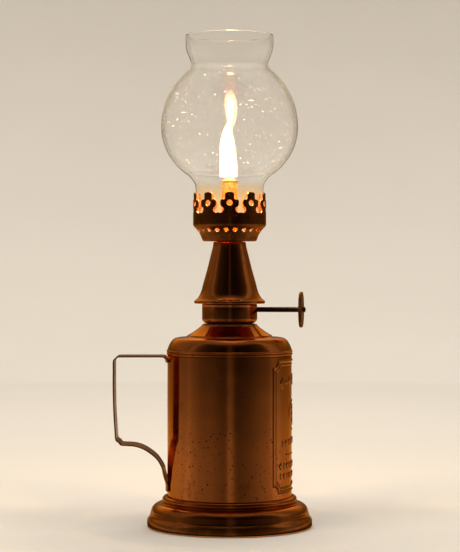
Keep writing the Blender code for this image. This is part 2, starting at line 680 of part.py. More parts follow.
def gap_outline():
    """The opening between two fleurons, about its middle: (sideways, height)."""
    pitch = 2 * math.pi * (CROWN_RADIUS - SHEET / 2) / FLEURON_COUNT
    tab = (pitch - TAB_WIDTH) / 2
    bulb = (pitch - BULB_WIDTH) / 2
    waist = (pitch - WAIST_WIDTH) / 2
    tab_foot = CROWN_TOP - TAB_HEIGHT
    bulb_z = FLEURON_Z + FLEURON_EYE
    half = [(tab + 0.9 * MM, CROWN_TOP + 1.0 * MM), (tab, CROWN_TOP - 0.8 * MM)]
    half += arc((tab, tab_foot), (bulb, bulb_z), -0.25 * (tab - bulb), 3)
    half += arc((bulb, bulb_z - 0.3 * MM), (waist - 0.7 * MM, FLEURON_Z + 3.2 * MM), -0.3 * MM, 2)
    half += arc((waist - 0.6 * MM, FLEURON_Z + 3.0 * MM), (0.0, FLEURON_Z + 0.8 * MM),
                1.95 * MM, 5)
    return half + [(-x, z) for x, z in reversed(half[:-1])]


def make_gallery(parent):
    base = 1.2 * MM
    profile = [(CROWN_RADIUS, CROWN_TOP)]
    profile += arc((CROWN_RADIUS, BAND_Z), (BOWL_RADIUS + 0.6 * MM, GALLERY_Z + 0.8 * MM),
                   -0.55 * MM, 3)
    profile += [(BOWL_RADIUS, GALLERY_Z), (BOWL_RADIUS - base, GALLERY_Z)]
    crown = spun_shell("gallery_crown", profile, SHEET, BRASS, parent, steps=30)
    half_pitch = math.pi / FLEURON_COUNT
    front = -math.pi / 2
    reach = CROWN_RADIUS - 2.2 * MM
    gap = outline_mesh("gap", [gap_outline()], 2 * 3.0 * MM)
    hole = cylinder_mesh("hole", FLEURON_HOLE, 2 * 3.0 * MM, 10)
    pinhole = cylinder_mesh("pinhole", BOWL_HOLE, 2 * 4.0 * MM, 8)
    cut(crown, ring_of("crown_cutter", [
        (gap, FLEURON_COUNT, front + half_pitch, (CROWN_RADIUS, 0.0, 0.0)),
        (hole, FLEURON_COUNT, front, (CROWN_RADIUS, 0.0, FLEURON_Z + FLEURON_EYE)),
        (pinhole, BOWL_HOLES, front + BOWL_HOLE_PHASE, (reach, 0.0, GALLERY_Z + BOWL_HOLE_RISE))]))

    edge = BOWL_RADIUS - SHEET - FIT_GAP
    low = GALLERY_FLOOR_Z
    floor = turned("gallery_floor",
                   [(COLLAR_BORE + SHEET, low + COLLAR_HEIGHT), (COLLAR_BORE + SHEET, low + SHEET),
                    (edge, low + SHEET), (edge, low), (COLLAR_BORE, low),
                    (COLLAR_BORE, low + COLLAR_HEIGHT)], BRASS, parent, steps=24)
    drill = cylinder_mesh("drill", FLOOR_HOLE, 4 * SHEET, 8)
    drill.transform(Matrix.Rotation(math.pi / 2, 4, "X"))
    ring = (COLLAR_BORE + SHEET + edge) / 2
    cut(floor, ring_of("floor_cutter",
                       [(drill, FLOOR_HOLES, math.pi / FLOOR_HOLES, (ring, 0.0, low + SHEET / 2))]))


def bulb_point(radius, half_height):
    return math.sqrt(1 - (radius / GLOBE_RADIUS) ** 2) * half_height


def make_globe(parent):
    """Blown globe: a straight neck, an egg-shaped bulb, a waist and a rolled collar."""
    neck = GLOBE_NECK_RADIUS
    waist = GLOBE_WAIST_RADIUS
    low_join = neck + NECK_FILLET
    high_join = waist + WAIST_FILLET
    equator = GLOBE_NECK_TOP + NECK_FILLET_RISE + bulb_point(low_join, GLOBE_DROP)
    waist_z = equator + bulb_point(high_join, GLOBE_RISE) + WAIST_FILLET_RISE
    top = waist_z + GLOBE_COLLAR_HEIGHT
    rim = GLOBE_RIM_RADIUS
    profile = [(rim - 0.3 * MM, top), (rim, top - 2.9 * MM), (rim, top - 5.9 * MM)]
    profile += [(rim - 1.1 * MM, top - 9.4 * MM), (waist, waist_z)]
    steps = 5
    start = math.asin(high_join / GLOBE_RADIUS)
    for i in range(steps + 1):
        turn = start + (math.pi / 2 - start) * i / steps
        profile.append((GLOBE_RADIUS * math.sin(turn), equator + GLOBE_RISE * math.cos(turn)))
    start = math.asin(low_join / GLOBE_RADIUS)
    for i in range(1, steps):
        turn = math.pi / 2 - (math.pi / 2 - start) * i / (steps - 1)
        profile.append((GLOBE_RADIUS * math.sin(turn), equator - GLOBE_DROP * math.cos(turn)))
    profile += [(neck + 0.5 * MM, GLOBE_NECK_TOP + NECK_FILLET_RISE / 2), (neck, GLOBE_NECK_TOP),
                (neck, GLOBE_BOTTOM)]
    spun_shell("glass_globe", profile, GLASS, GLASS_CLEAR, parent, steps=30)


# ---------------------------------------------------------------- build

clear_scene()
PARTS = new_collection("oil_lamp")
CUTTERS = new_collection("cutters")

BRASS = new_material("aged_brass", (0.62, 0.27, 0.09), 0.22, 1.0)
STEEL = new_material("dark_steel", (0.16, 0.11, 0.08), 0.35, 1.0)
LEAD = new_material("cast_lead", (0.16, 0.16, 0.17), 0.6, 1.0)
LEATHER = new_material("oiled_leather", (0.05, 0.03, 0.02), 0.7, 0.0)
FELT = new_material("grey_felt", (0.42, 0.38, 0.32), 0.95, 0.0)
COTTON = new_material("cotton_wick", (0.75, 0.68, 0.55), 0.95, 0.0)
GLASS_CLEAR = new_material("clear_glass", (0.95, 0.97, 0.95), 0.03, 0.0, transmission=1.0)

reservoir = body_frame("reservoir")
gasket = body_frame("gasket", reservoir)
burner = body_frame("burner", gasket)
wick_drive = body_frame("wick_drive", burner)
wick_frame = body_frame("wick_frame", burner)
gallery = body_frame("gallery", burner)
globe = body_frame("globe", gallery)

# The spindle runs beside the wick, on its far side; its frame has +Z along it, towards the knob.
wick_drive.matrix_basis = (
    Matrix.Rotation(SPINDLE_TURNED, 4, "Z")
    @ Matrix.Translation((0.0, SPINDLE_OFFSET, SPINDLE_Z))
    @ Matrix.Rotation(math.pi / 2, 4, "Y"))

make_foot(reservoir)
make_reservoir(reservoir)
make_shoulder(reservoir)
make_neck_ring(reservoir)
make_handle(reservoir)
make_gasket(gasket)
make_burner(burner, wick_drive)
make_spindle_supports(burner, wick_drive)
make_winder(wick_drive)
make_wick(wick_frame)
make_gallery(gallery)
make_globe(globe)
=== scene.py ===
"""Looks of the oil lamp: fine surfaces, aged metal, glass, flame, a pale floor and soft light."""

import json
import random
from math import asin, atan, atan2, cos, hypot, pi, radians, sin, sqrt, tan

import bmesh
import bpy
import numpy as np
from mathutils import Matrix, Vector

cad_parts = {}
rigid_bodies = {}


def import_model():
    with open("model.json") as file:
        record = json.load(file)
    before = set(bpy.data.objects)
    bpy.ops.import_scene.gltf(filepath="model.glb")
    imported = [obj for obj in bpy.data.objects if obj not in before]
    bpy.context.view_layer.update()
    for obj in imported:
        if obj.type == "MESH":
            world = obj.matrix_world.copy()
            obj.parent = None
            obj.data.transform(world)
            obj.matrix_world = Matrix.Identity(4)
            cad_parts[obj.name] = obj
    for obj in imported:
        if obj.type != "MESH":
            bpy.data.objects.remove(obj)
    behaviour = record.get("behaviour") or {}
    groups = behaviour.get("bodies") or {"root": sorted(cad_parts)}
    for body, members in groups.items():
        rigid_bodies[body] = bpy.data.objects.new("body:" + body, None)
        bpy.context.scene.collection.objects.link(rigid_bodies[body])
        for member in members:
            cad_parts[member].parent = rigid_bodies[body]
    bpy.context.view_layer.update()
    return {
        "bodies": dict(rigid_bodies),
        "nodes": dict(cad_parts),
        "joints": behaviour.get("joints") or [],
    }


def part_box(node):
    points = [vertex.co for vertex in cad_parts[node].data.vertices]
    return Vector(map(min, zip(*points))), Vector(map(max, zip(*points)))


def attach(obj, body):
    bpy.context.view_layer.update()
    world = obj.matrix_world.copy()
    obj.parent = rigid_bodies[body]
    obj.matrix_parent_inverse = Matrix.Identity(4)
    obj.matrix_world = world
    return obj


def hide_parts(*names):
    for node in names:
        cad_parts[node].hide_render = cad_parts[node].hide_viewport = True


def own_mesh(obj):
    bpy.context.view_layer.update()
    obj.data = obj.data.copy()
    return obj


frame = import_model()

MM = 0.001
SHEET = 0.5 * MM


# ---- shape helpers

def at(r, z, *steps):
    """Points beside (r, z), each moved by its own (sideways, up) in millimetres."""
    return [(r + out * MM, z + up * MM) for out, up in steps]


def arc(start, end, bulge, count):
    """Points of a circle from start to end; a positive bulge is left of the way between them."""
    first, last = Vector(start), Vector(end)
    half = (last - first).length / 2
    along = (last - first).normalized()
    left = Vector((-along.y, along.x))
    radius = (half * half + bulge * bulge) / (2 * bulge)
    swing = 2 * atan(bulge / half)
    centre = (first + last) / 2 - left * (radius - bulge)
    points = []
    for i in range(count + 1):
        turn = swing * (2 * i / count - 1)
        points.append(tuple(centre + radius * (cos(turn) * left + sin(turn) * along)))
    return points


def rounded(corners, radius, count=5, closed=False):
    """The path with each corner rounded to the radius, or less where its neighbours are near."""
    size = len(corners)
    path = []
    for i, corner in enumerate(corners):
        if not closed and i in (0, size - 1):
            path.append(tuple(corner))
            continue
        here = Vector(corner)
        back = Vector(corners[i - 1]) - here
        ahead = Vector(corners[(i + 1) % size]) - here
        opening = back.angle(ahead)
        if opening > radians(172):
            path.append(tuple(corner))
            continue
        trim = min(radius / tan(opening / 2), back.length * 0.45, ahead.length * 0.45)
        real = trim * tan(opening / 2)
        bulge = real * (1 - sin(opening / 2))
        side = -1.0 if back.x * ahead.y - back.y * ahead.x > 0 else 1.0
        if bulge < 1e-7:
            path.append(tuple(corner))
            continue
        path += arc(here + back.normalized() * trim, here + ahead.normalized() * trim,
                    bulge * side, count)
    return path


def smooth_curve(points, per_span=8):
    """A Catmull-Rom curve through the points."""
    padded = [points[0]] + list(points) + [points[-1]]
    out = []
    for a, b, c, d in zip(padded, padded[1:], padded[2:], padded[3:]):
        a, b, c, d = (np.array(p, float) for p in (a, b, c, d))
        for i in range(per_span):
            t = i / per_span
            out.append(tuple(0.5 * (2 * b + (c - a) * t + (2 * a - 5 * b + 4 * c - d) * t * t
                                    + (3 * b - a - 3 * c + d) * t ** 3)))
    out.append(tuple(points[-1]))
    return out


def divided(a, b, steps):
    """The point a and those that part the way from a to b into equal steps."""
    return [(a[0] + (b[0] - a[0]) * i / steps, a[1] + (b[1] - a[1]) * i / steps)
            for i in range(steps)]


def placed(name, data):
    """A new object in the scene."""
    thing = bpy.data.objects.new(name, data)
    bpy.context.scene.collection.objects.link(thing)
    return thing


def unseen(thing, *rays):
    """Hides the object from the given kinds of ray."""
    for ray in rays:
        setattr(thing, "visible_" + ray, False)


def new_object(name, mesh, material, sharp=35):
    piece = placed(name, mesh)
    mesh.materials.append(material)
    mesh.shade_smooth()
    if sharp:
        mesh.set_sharp_from_angle(angle=radians(sharp))
    return piece


def lathe_mesh(name, rows, segments, closed=True):
    """A turned surface whose rows (radius, height) run down its outer side and back up its bore."""
    turns = [2 * pi * i / segments for i in range(segments)]
    verts, rings, faces = [], [], []
    for r, z in rows:
        if r < 1e-7:
            rings.append([len(verts)])
            verts.append((0.0, 0.0, z))
        else:
            rings.append(range(len(verts), len(verts) + segments))
            verts += [(r * cos(t), r * sin(t), z) for t in turns]
    below = rings[1:] + rings[:1] if closed else rings[1:]
    for upper, lower in zip(rings, below):
        if len(upper) == 1 and len(lower) == 1:
            continue
        for i in range(segments):
            j = (i + 1) % segments
            if len(upper) == 1:
                faces.append((upper[0], lower[i], lower[j]))
            elif len(lower) == 1:
                faces.append((upper[i], lower[0], upper[j]))
            else:
                faces.append((upper[i], lower[i], lower[j], upper[j]))
    mesh = bpy.data.meshes.new(name)
    mesh.from_pydata(verts, [], faces)
    return mesh


def lofted(name, rings):
    """A closed body through rings that all have the same number of points."""
    n, last = len(rings[0]), len(rings) - 1
    faces = [(j * n + i, j * n + (i + 1) % n, (j + 1) * n + (i + 1) % n, (j + 1) * n + i)
             for j in range(last) for i in range(n)]
    faces += [tuple(range(n))[::-1], tuple(range(last * n, (last + 1) * n))]
    mesh = bpy.data.meshes.new(name)
    mesh.from_pydata([point for ring in rings for point in ring], [], faces)
    return mesh


def lathe(name, rows, material, body, replaces=(), segments=160, closed=True,
          place=None, sharp=35):
    mesh = lathe_mesh(name, rows, segments, closed)
    if place:
        mesh.transform(place)
    return dress(new_object(name, mesh, material, sharp), body, replaces)


def dress(piece, body, replaces=()):
    """Let a finished piece ride with its body and hide the CAD nodes it stands for."""
    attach(piece, body)
    if replaces:
        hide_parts(*replaces)
    return piece


def settled(thing):
    """A new mesh of the object as its modifiers leave it."""
    bpy.context.view_layer.update()
    graph = bpy.context.evaluated_depsgraph_get()
    return bpy.data.meshes.new_from_object(thing.evaluated_get(graph))


def cut_away(piece, tool_mesh, sharp=35):
    """Take a closed mesh away from a piece for good."""
    tool = placed("tool", tool_mesh)
    cut = piece.modifiers.new("cut", "BOOLEAN")
    cut.operation = "DIFFERENCE"
    cut.solver = "EXACT"
    cut.object = tool
    mesh = settled(piece)
    piece.modifiers.remove(cut)
    bpy.data.objects.remove(tool, do_unlink=True)
    piece.data = mesh
    mesh.set_sharp_from_angle(angle=radians(sharp))


def offset_inward(path, thickness):
    """The same path moved by the thickness to its right hand, which is into the sheet."""
    points = [Vector(p) for p in path]
    out = []
    for i, p in enumerate(points):
        along = points[min(i + 1, len(points) - 1)] - points[max(i - 1, 0)]
        along.normalize()
        out.append((p.x + along.y * thickness, p.y - along.x * thickness))
    return out


def shell_rows(path, thickness):
    """Rows of a turned sheet: down its outer side, then back up inside it."""
    inner = offset_inward(path, thickness)
    return list(path) + inner[::-1]


# ---- node helpers

class Shade:
    """A material under construction, with short calls for the nodes used here."""

    def __init__(self, name):
        self.material = bpy.data.materials.new(name)
        self.material.use_nodes = True
        self.tree = self.material.node_tree
        self.shader = self.tree.nodes["Principled BSDF"]
        self.out = self.tree.nodes["Material Output"]
        self.place = self.tree.nodes.new("ShaderNodeTexCoord").outputs["Object"]

    def node(self, kind, **settings):
        node = self.tree.nodes.new("ShaderNode" + kind)
        for key, value in settings.items():
            setattr(node, key, value)
        return node

    def feed(self, node, **values):
        """Links or sets the node's inputs; a name has _ for each space."""
        for key, value in values.items():
            self.link(value, node.inputs[key.replace("_", " ")])
        return node

    def set(self, **values):
        self.feed(self.shader, **values)

    def link(self, value, socket):
        if isinstance(value, bpy.types.NodeSocket):
            self.tree.links.new(value, socket)
        elif socket.type == "RGBA":
            socket.default_value = (*value[:3], 1.0)
        else:
            socket.default_value = value

    def stretched(self, scale):
        return self.feed(self.node("Mapping"), Vector=self.place, Scale=scale).outputs["Vector"]

    def noise(self, size, detail=3.0, roughness=0.55, where=None, distortion=0.0):
        """Noise whose features are about the given size, in metres."""
        node = self.feed(self.node("TexNoise"), Vector=where or self.place, Scale=1.0 / size,
                         Detail=detail, Roughness=roughness, Distortion=distortion)
        return node.outputs["Fac"]

    def cells(self, size, feature="F1"):
        node = self.feed(self.node("TexVoronoi", feature=feature), Vector=self.place,
                         Scale=1.0 / size)
        return node.outputs["Distance"]

    def math(self, operation, a, b=0.0, clamp=False):
        node = self.node("Math", operation=operation, use_clamp=clamp)
        self.link(a, node.inputs[0])
        self.link(b, node.inputs[1])
        return node.outputs[0]

    def times(self, a, b, clamp=False):
        return self.math("MULTIPLY", a, b, clamp)

    def plus(self, a, b, clamp=False):
        return self.math("ADD", a, b, clamp)

    def span(self, value, low, high, to_low=0.0, to_high=1.0):
        """Smoothly maps low..high to to_low..to_high."""
        node = self.feed(self.node("MapRange", interpolation_type="SMOOTHSTEP"), Value=value,
                         From_Min=low, From_Max=high, To_Min=to_low, To_Max=to_high)
        return node.outputs["Result"]

    def mix(self, factor, a, b):
        node = self.node("Mix", data_type="RGBA")
        self.link(factor, node.inputs["Factor"])
        self.link(a, node.inputs[6])
        self.link(b, node.inputs[7])
        return node.outputs[2]

    def ramp(self, value, stops):
        """A colour ramp with the given (position, colour) stops."""
        node = self.feed(self.node("ValToRGB"), Fac=value)
        elements = node.color_ramp.elements
        for index, (position, colour) in ((0, stops[0]), (1, stops[-1])):
            elements[index].position = position
            elements[index].color = (*colour, 1.0)
        for position, colour in stops[1:-1]:
            elements.new(position).color = (*colour, 1.0)
        return node.outputs["Color"]

    def height(self, value, depth, strength=1.0, normal=None):
        node = self.feed(self.node("Bump"), Height=value, Distance=depth, Strength=strength)
        if normal is not None:
            self.link(normal, node.inputs["Normal"])
        return node.outputs["Normal"]

    def axis(self, name):
        return self.feed(self.node("SeparateXYZ"), Vector=self.place).outputs[name]

    def radius(self):
        x, y = self.axis("X"), self.axis("Y")
        return self.math("SQRT", self.plus(self.times(x, x), self.times(y, y)))

    def facing_out(self):
        """1 where the surface faces away from the lamp's axis, -1 where it faces the axis."""
        level = self.node("VectorMath", operation="MULTIPLY")
        self.link(self.place, level.inputs[0])
        level.inputs[1].default_value = (1.0, 1.0, 0.0)
        unit = self.node("VectorMath", operation="NORMALIZE")
        self.link(level.outputs[0], unit.inputs[0])
        dot = self.node("VectorMath", operation="DOT_PRODUCT")
        self.link(unit.outputs[0], dot.inputs[0])
        self.link(self.node("NewGeometry").outputs["Normal"], dot.inputs[1])
        return dot.outputs["Value"]


COPPERY = (0.72, 0.220, 0.052)
BRIGHT = (0.84, 0.42, 0.14)
TARNISH = (0.23, 0.050, 0.013)
# near-black for pits, real soot and painted shade
SOOT_AND_SHADE = (0.030, 0.010, 0.005)


def aged_brass(name, tarnish=0.5, pits=0.4, gloss=0.1, soot_and_shade=0.0, rings=True, scratch=0.5,
               pitted=None, pit_size=1.9 * MM, outside_only=False, base=COPPERY):
    """Old lacquered brass: cloudy tarnish, polished edges, pits, turning lines and scratches."""
    s = Shade(name)
    clouds = s.noise(16 * MM, 4.0, 0.6, distortion=0.6)
    mottle = s.noise(3.2 * MM, 4.0, 0.6)
    stain = s.plus(s.times(clouds, 0.62), s.times(mottle, 0.38))
    cloudy = s.span(stain, 0.62 - 0.25 * tarnish, 0.80 - 0.2 * tarnish)
    edge = s.node("NewGeometry").outputs["Pointiness"]
    worn = s.span(edge, 0.515, 0.56)
    crevice = s.span(edge, 0.485, 0.44)
    colour = s.mix(s.times(cloudy, 0.6), base, TARNISH)
    colour = s.mix(s.times(crevice, 0.8), colour, SOOT_AND_SHADE)
    colour = s.mix(s.times(worn, 0.7), colour, BRIGHT)
    patches = s.span(s.noise(11 * MM, 2.0, 0.5), 0.46, 0.62)
    if pitted:
        lower_wall = s.span(s.axis("Z"), *pitted, 0.12, 1.0)
        patches = s.times(s.plus(patches, 0.35), lower_wall, clamp=True)
    spots = s.cells(pit_size)
    spot_size = s.noise(pit_size * 1.3, 1.0)
    pit = s.times(s.span(spots, 0.25, 0.13), s.span(spot_size, 0.43, 0.50))
    pit = s.times(s.times(pit, patches), pits, clamp=True)
    colour = s.mix(pit, colour, SOOT_AND_SHADE)
    # Darkening towards near-black: real soot on parts near the flame, and painted shade on the
    # handle and on the gallery's outward faces.
    if soot_and_shade:
        soot_and_shade_mask = s.span(s.noise(5 * MM, 3.0), 0.35, 0.6, 0.75 * soot_and_shade, soot_and_shade)
        # Outward faces darker than those facing the flame: painted shade.
        if outside_only:
            soot_and_shade_mask = s.times(soot_and_shade_mask, s.span(s.facing_out(), -0.2, 0.3, 0.2, 1.0))
        colour = s.mix(soot_and_shade_mask, colour, SOOT_AND_SHADE)
    rough = s.span(mottle, 0.3, 0.75, gloss, gloss + 0.07)
    rough = s.plus(rough, s.times(cloudy, 0.05))
    rough = s.plus(rough, s.times(pit, 0.3), clamp=True)
    grain = s.noise(0.35 * MM, 2.0)
    normal = s.height(grain, 0.002 * MM, 0.6)
    if rings:
        lines = s.node("CombineXYZ")
        s.link(s.axis("Z"), lines.inputs[0])
        s.link(s.radius(), lines.inputs[1])
        turned = s.noise(0.45 * MM, 2.0, where=lines.outputs[0])
        normal = s.height(turned, 0.003 * MM, 0.5, normal)
    if scratch:
        hair = s.noise(0.5 * MM, 1.0, where=s.stretched((1.0, 1.0, 0.09)), distortion=0.3)
        hairline = s.span(hair, 0.66, 0.72)
        normal = s.height(hairline, -0.003 * MM, scratch, normal)
        rough = s.plus(rough, s.times(hairline, 0.05 * scratch), clamp=True)
    dents = s.noise(22 * MM, 1.0)
    normal = s.height(dents, 0.35 * MM, 0.5, normal)
    normal = s.height(pit, -0.1 * MM, 0.7, normal)
    s.set(Base_Color=colour, Metallic=1.0, Roughness=rough, Normal=normal,
          Specular_Tint=(1.0, 0.66, 0.38))
    return s.material


def steel(name, base=(0.085, 0.060, 0.045), rough=0.34):
    s = Shade(name)
    rust = s.span(s.noise(2.2 * MM, 5.0, 0.65), 0.48, 0.66)
    colour = s.mix(s.times(rust, 0.7), base, (0.075, 0.026, 0.012))
    worn = s.span(s.node("NewGeometry").outputs["Pointiness"], 0.52, 0.6)
    colour = s.mix(s.times(worn, 0.6), colour, (0.32, 0.25, 0.19))
    grain = s.noise(0.3 * MM, 3.0)
    s.set(Base_Color=colour, Metallic=1.0,
          Roughness=s.span(rust, 0.0, 1.0, rough, rough + 0.25),
          Normal=s.height(s.plus(grain, rust), 0.01 * MM, 0.6))
    return s.material


def clear_glass(name):
    """Old clear glass; the neck inside the gallery gets a painted amber tint and a painted glow of
    the flame's light.
    """
    neck_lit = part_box("gallery_crown")[1].z
    s = Shade(name)
    film = s.span(s.noise(9 * MM, 3.0, 0.55), 0.52, 0.75, 0.0, 0.035)
    sway = s.noise(26 * MM, 1.0, where=s.stretched((1.0, 1.0, 0.6)))
    # Darker towards the outline as the surface turns from view: painted shade along the glass's
    # edges.
    painted_dark_rim = s.span(s.feed(s.node("LayerWeight"), Blend=0.5).outputs["Facing"], 0.60, 0.97)
    colour = s.mix(painted_dark_rim, (0.985, 0.98, 0.965), (0.50, 0.40, 0.28))
    # Amber towards the neck inside the gallery: painted flame light.
    painted_flame_tint = s.span(s.axis("Z"), neck_lit + 8 * MM, neck_lit - 1 * MM)
    colour = s.mix(painted_flame_tint, colour, (1.0, 0.87, 0.66))
    s.set(Base_Color=colour, Roughness=film, Normal=s.height(sway, 0.5 * MM, 0.35))
    # The neck glows faintly: a painted glow of the flame's light.
    lit = s.times(s.span(s.axis("Z"), neck_lit + 5 * MM, neck_lit - 3 * MM, 0.0, 0.055),
                  s.span(s.noise(4 * MM, 3.0), 0.3, 0.7, 0.5, 1.3))
    s.set(Emission_Strength=lit, Emission_Color=(1.0, 0.50, 0.12), Transmission_Weight=1.0,
          IOR=1.5)
    return s.material


def cloth(name, base, dark, size, depth, rough=0.95):
    s = Shade(name)
    tangle = s.noise(size, 5.0, 0.7, distortion=1.2)
    s.set(Base_Color=s.mix(s.span(tangle, 0.35, 0.68), dark, base), Roughness=rough,
          Normal=s.height(tangle, depth, 0.9), Sheen_Weight=0.25)
    return s.material


def leather(name):
    s = Shade(name)
    grain = s.cells(0.7 * MM, "DISTANCE_TO_EDGE")
    oil = s.noise(4 * MM, 3.0)
    s.set(Base_Color=s.mix(s.span(oil, 0.35, 0.7), (0.055, 0.024, 0.012), (0.02, 0.009, 0.006)),
          Roughness=s.span(oil, 0.3, 0.7, 0.45, 0.7),
          Normal=s.height(grain, 0.06 * MM, 0.7))
    return s.material


def cast_lead(name):
    s = Shade(name)
    lumps = s.noise(3.5 * MM, 5.0, 0.65)
    s.set(Base_Color=s.mix(lumps, (0.10, 0.10, 0.11), (0.24, 0.24, 0.25)), Metallic=1.0,
          Roughness=s.span(lumps, 0.3, 0.7, 0.45, 0.7), Normal=s.height(lumps, 0.15 * MM, 0.8))
    return s.material


def wick_cotton(name, char_from, char_to):
    """Plaited cotton, charred black over its top."""
    s = Shade(name)
    plait = s.feed(s.node("TexWave", wave_type="BANDS", bands_direction="DIAGONAL"),
                   Vector=s.place, Scale=320.0, Distortion=1.5)
    thread = s.noise(0.25 * MM, 3.0)
    burnt = s.span(s.axis("Z"), char_from, char_to)
    woven = s.times(plait.outputs["Fac"], thread)
    fresh = s.mix(woven, (0.62, 0.54, 0.42), (0.30, 0.24, 0.17))
    s.set(Base_Color=s.mix(burnt, fresh, (0.012, 0.010, 0.009)), Roughness=0.95,
          Normal=s.height(s.plus(plait.outputs["Fac"], thread), 0.12 * MM, 0.9))
    return s.material


def flame_material(name, low, high, strength, alpha, hot, cool):
    """Glowing gas: bluish and faint at the foot, brightest over its lower half, warm to the tip."""
    s = Shade(name)
    up = s.span(s.axis("Z"), low, high)
    tip = (hot[0], hot[1] * 0.86, hot[2] * 0.6)
    tint = s.ramp(up, [(0.0, cool), (0.07, hot), (0.6, hot), (1.0, tip)])
    lick = s.noise(3 * MM, 2.0, where=s.stretched((1.0, 1.0, 0.3)))
    glow = s.times(s.span(up, 0.0, 0.12, 0.25, 1.0),
                   s.span(lick, 0.2, 0.8, 0.85 * strength, 1.1 * strength))
    s.set(Base_Color=(1.0, 0.55, 0.16), Roughness=1.0, Emission_Strength=glow,
          Emission_Color=tint, Alpha=s.span(up, 0.0, 0.1, 0.35 * alpha, alpha))
    return s.material


BODY = aged_brass("aged_brass_body", tarnish=0.28, pits=1.0, gloss=0.09, scratch=0.6,
                  pitted=(64 * MM, 40 * MM))
FOOT = aged_brass("aged_brass_foot", tarnish=0.45, pits=0.6, gloss=0.12)
SHOULDER = aged_brass("aged_brass_shoulder", tarnish=0.35, pits=0.35, gloss=0.09)
BURNER = aged_brass("aged_brass_burner", tarnish=0.5, pits=0.35, gloss=0.10)
# The gallery's darkening is real soot with painted shade on its outward faces.
CROWN = aged_brass("aged_brass_crown", tarnish=0.75, pits=0.4, gloss=0.20, soot_and_shade=0.60,
                   rings=False, outside_only=True)
# The handle's darkening is painted shade.
HANDLE = aged_brass("aged_brass_handle", tarnish=0.85, pits=1.0, gloss=0.14, soot_and_shade=0.55,
                    rings=False, pit_size=4.5 * MM)
FITTING = aged_brass("aged_brass_fitting", tarnish=0.8, pits=0.3, gloss=0.20, soot_and_shade=0.25,
                     rings=False)
HEATED = aged_brass("heated_brass", tarnish=0.12, pits=0.2, gloss=0.24, soot_and_shade=0.05, rings=False,
                    base=(0.84, 0.49, 0.15))
STEEL = steel("dark_steel_worn")
GLASS = clear_glass("clear_glass_blown")
FELT = cloth("grey_felt_fibres", (0.44, 0.40, 0.34), (0.22, 0.19, 0.16), 0.5 * MM, 0.25 * MM)
LEATHER = leather("oiled_leather_grain")
LEAD = cast_lead("cast_lead_skin")


# ---- foot

def size_of(node):
    """(radius, low, high) of a turned CAD node."""
    low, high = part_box(node)
    return high.x, low.z, high.z


wall_r, wall_low, wall_high = size_of("reservoir_shell")
foot_r, _, foot_top = size_of("foot_shell")
bead_r = wall_r + 2.5 * MM
skirt = bead_r + 2.4 * MM

foot_path = at(wall_r, foot_top, (0.3, -1), (0.3, -0.2), (0.55, 0))
foot_path += arc(*at(bead_r, foot_top, (-1.5, -0.15), (-0.5, -3.3)), 1.05 * MM, 14)
foot_path += arc(*at(bead_r, foot_top, (-0.4, -3.5), (0.9, -4)), -0.2 * MM, 5)
foot_path += arc(*at(skirt, foot_top, (-1.3, -3.85)), *at(foot_r, foot_top, (-1.9, -8.3)),
                 1.3 * MM, 22)[1:]
foot_path += arc(*at(foot_r, foot_top, (-1.7, -8.8), (-0.75, -11)), -0.22 * MM, 8)
foot_path += rounded(at(foot_r, foot_top, (-0.6, -11.3))
                     + at(foot_r, 0, (-0.3, 4.15), (0, 3.5), (0, 0.25), (-0.25, 0)), 0.25 * MM, 4)
lathe("foot", shell_rows(foot_path, 0.75 * MM), FOOT, "reservoir", ["foot_shell"], segments=256)

plate_r, plate_low, plate_high = size_of("bottom_plate")
plate_path = [(0, plate_high)] + at(plate_r, plate_high, (-0.2, 0), (0, -0.2))
plate_path += at(plate_r, plate_low, (0, 0.15), (-0.3, 0))
plate_path += arc(*at(plate_r, plate_low, (-4, 0), (-6, 0)), -0.35 * MM, 6)
plate_path += arc(*at(0, plate_low, (14, 0), (12, 0)), -0.3 * MM, 6) + [(0, plate_low)]
lathe("foot_plate", plate_path, FITTING, "reservoir", ["bottom_plate"], segments=160, closed=False)


# ---- tank wall with its embossed panel

PANEL_HALF_ANGLE = radians(46.0)
PANEL_LOW, PANEL_HIGH = 19.4, 84.7
NOTCH = 3.6
RAISED = 0.42
SUNK = 0.06
GARLAND_Z, GARLAND_STEP = 73.3, 4.6
ROSE_Z, ROSE_R, WREATH_R = 57.0, 5.2, 10.5
RULE_Z, RULE_HALF = 37.4, 15.0
# (height, count, step, half width, half height) of the rows of small ornaments
ORNAMENT_ROWS = [(43.0, 11, 3.6, 1.15, 1.5), (32.2, 13, 3.35, 1.05, 1.45),
                 (27.2, 13, 3.35, 0.95, 1.2)]


def ramp_up(distance, reach, soft):
    """1 within reach, falling smoothly to 0 over soft."""
    t = np.clip((reach + soft - distance) / soft, 0.0, 1.0)
    return t * t * (3 - 2 * t)


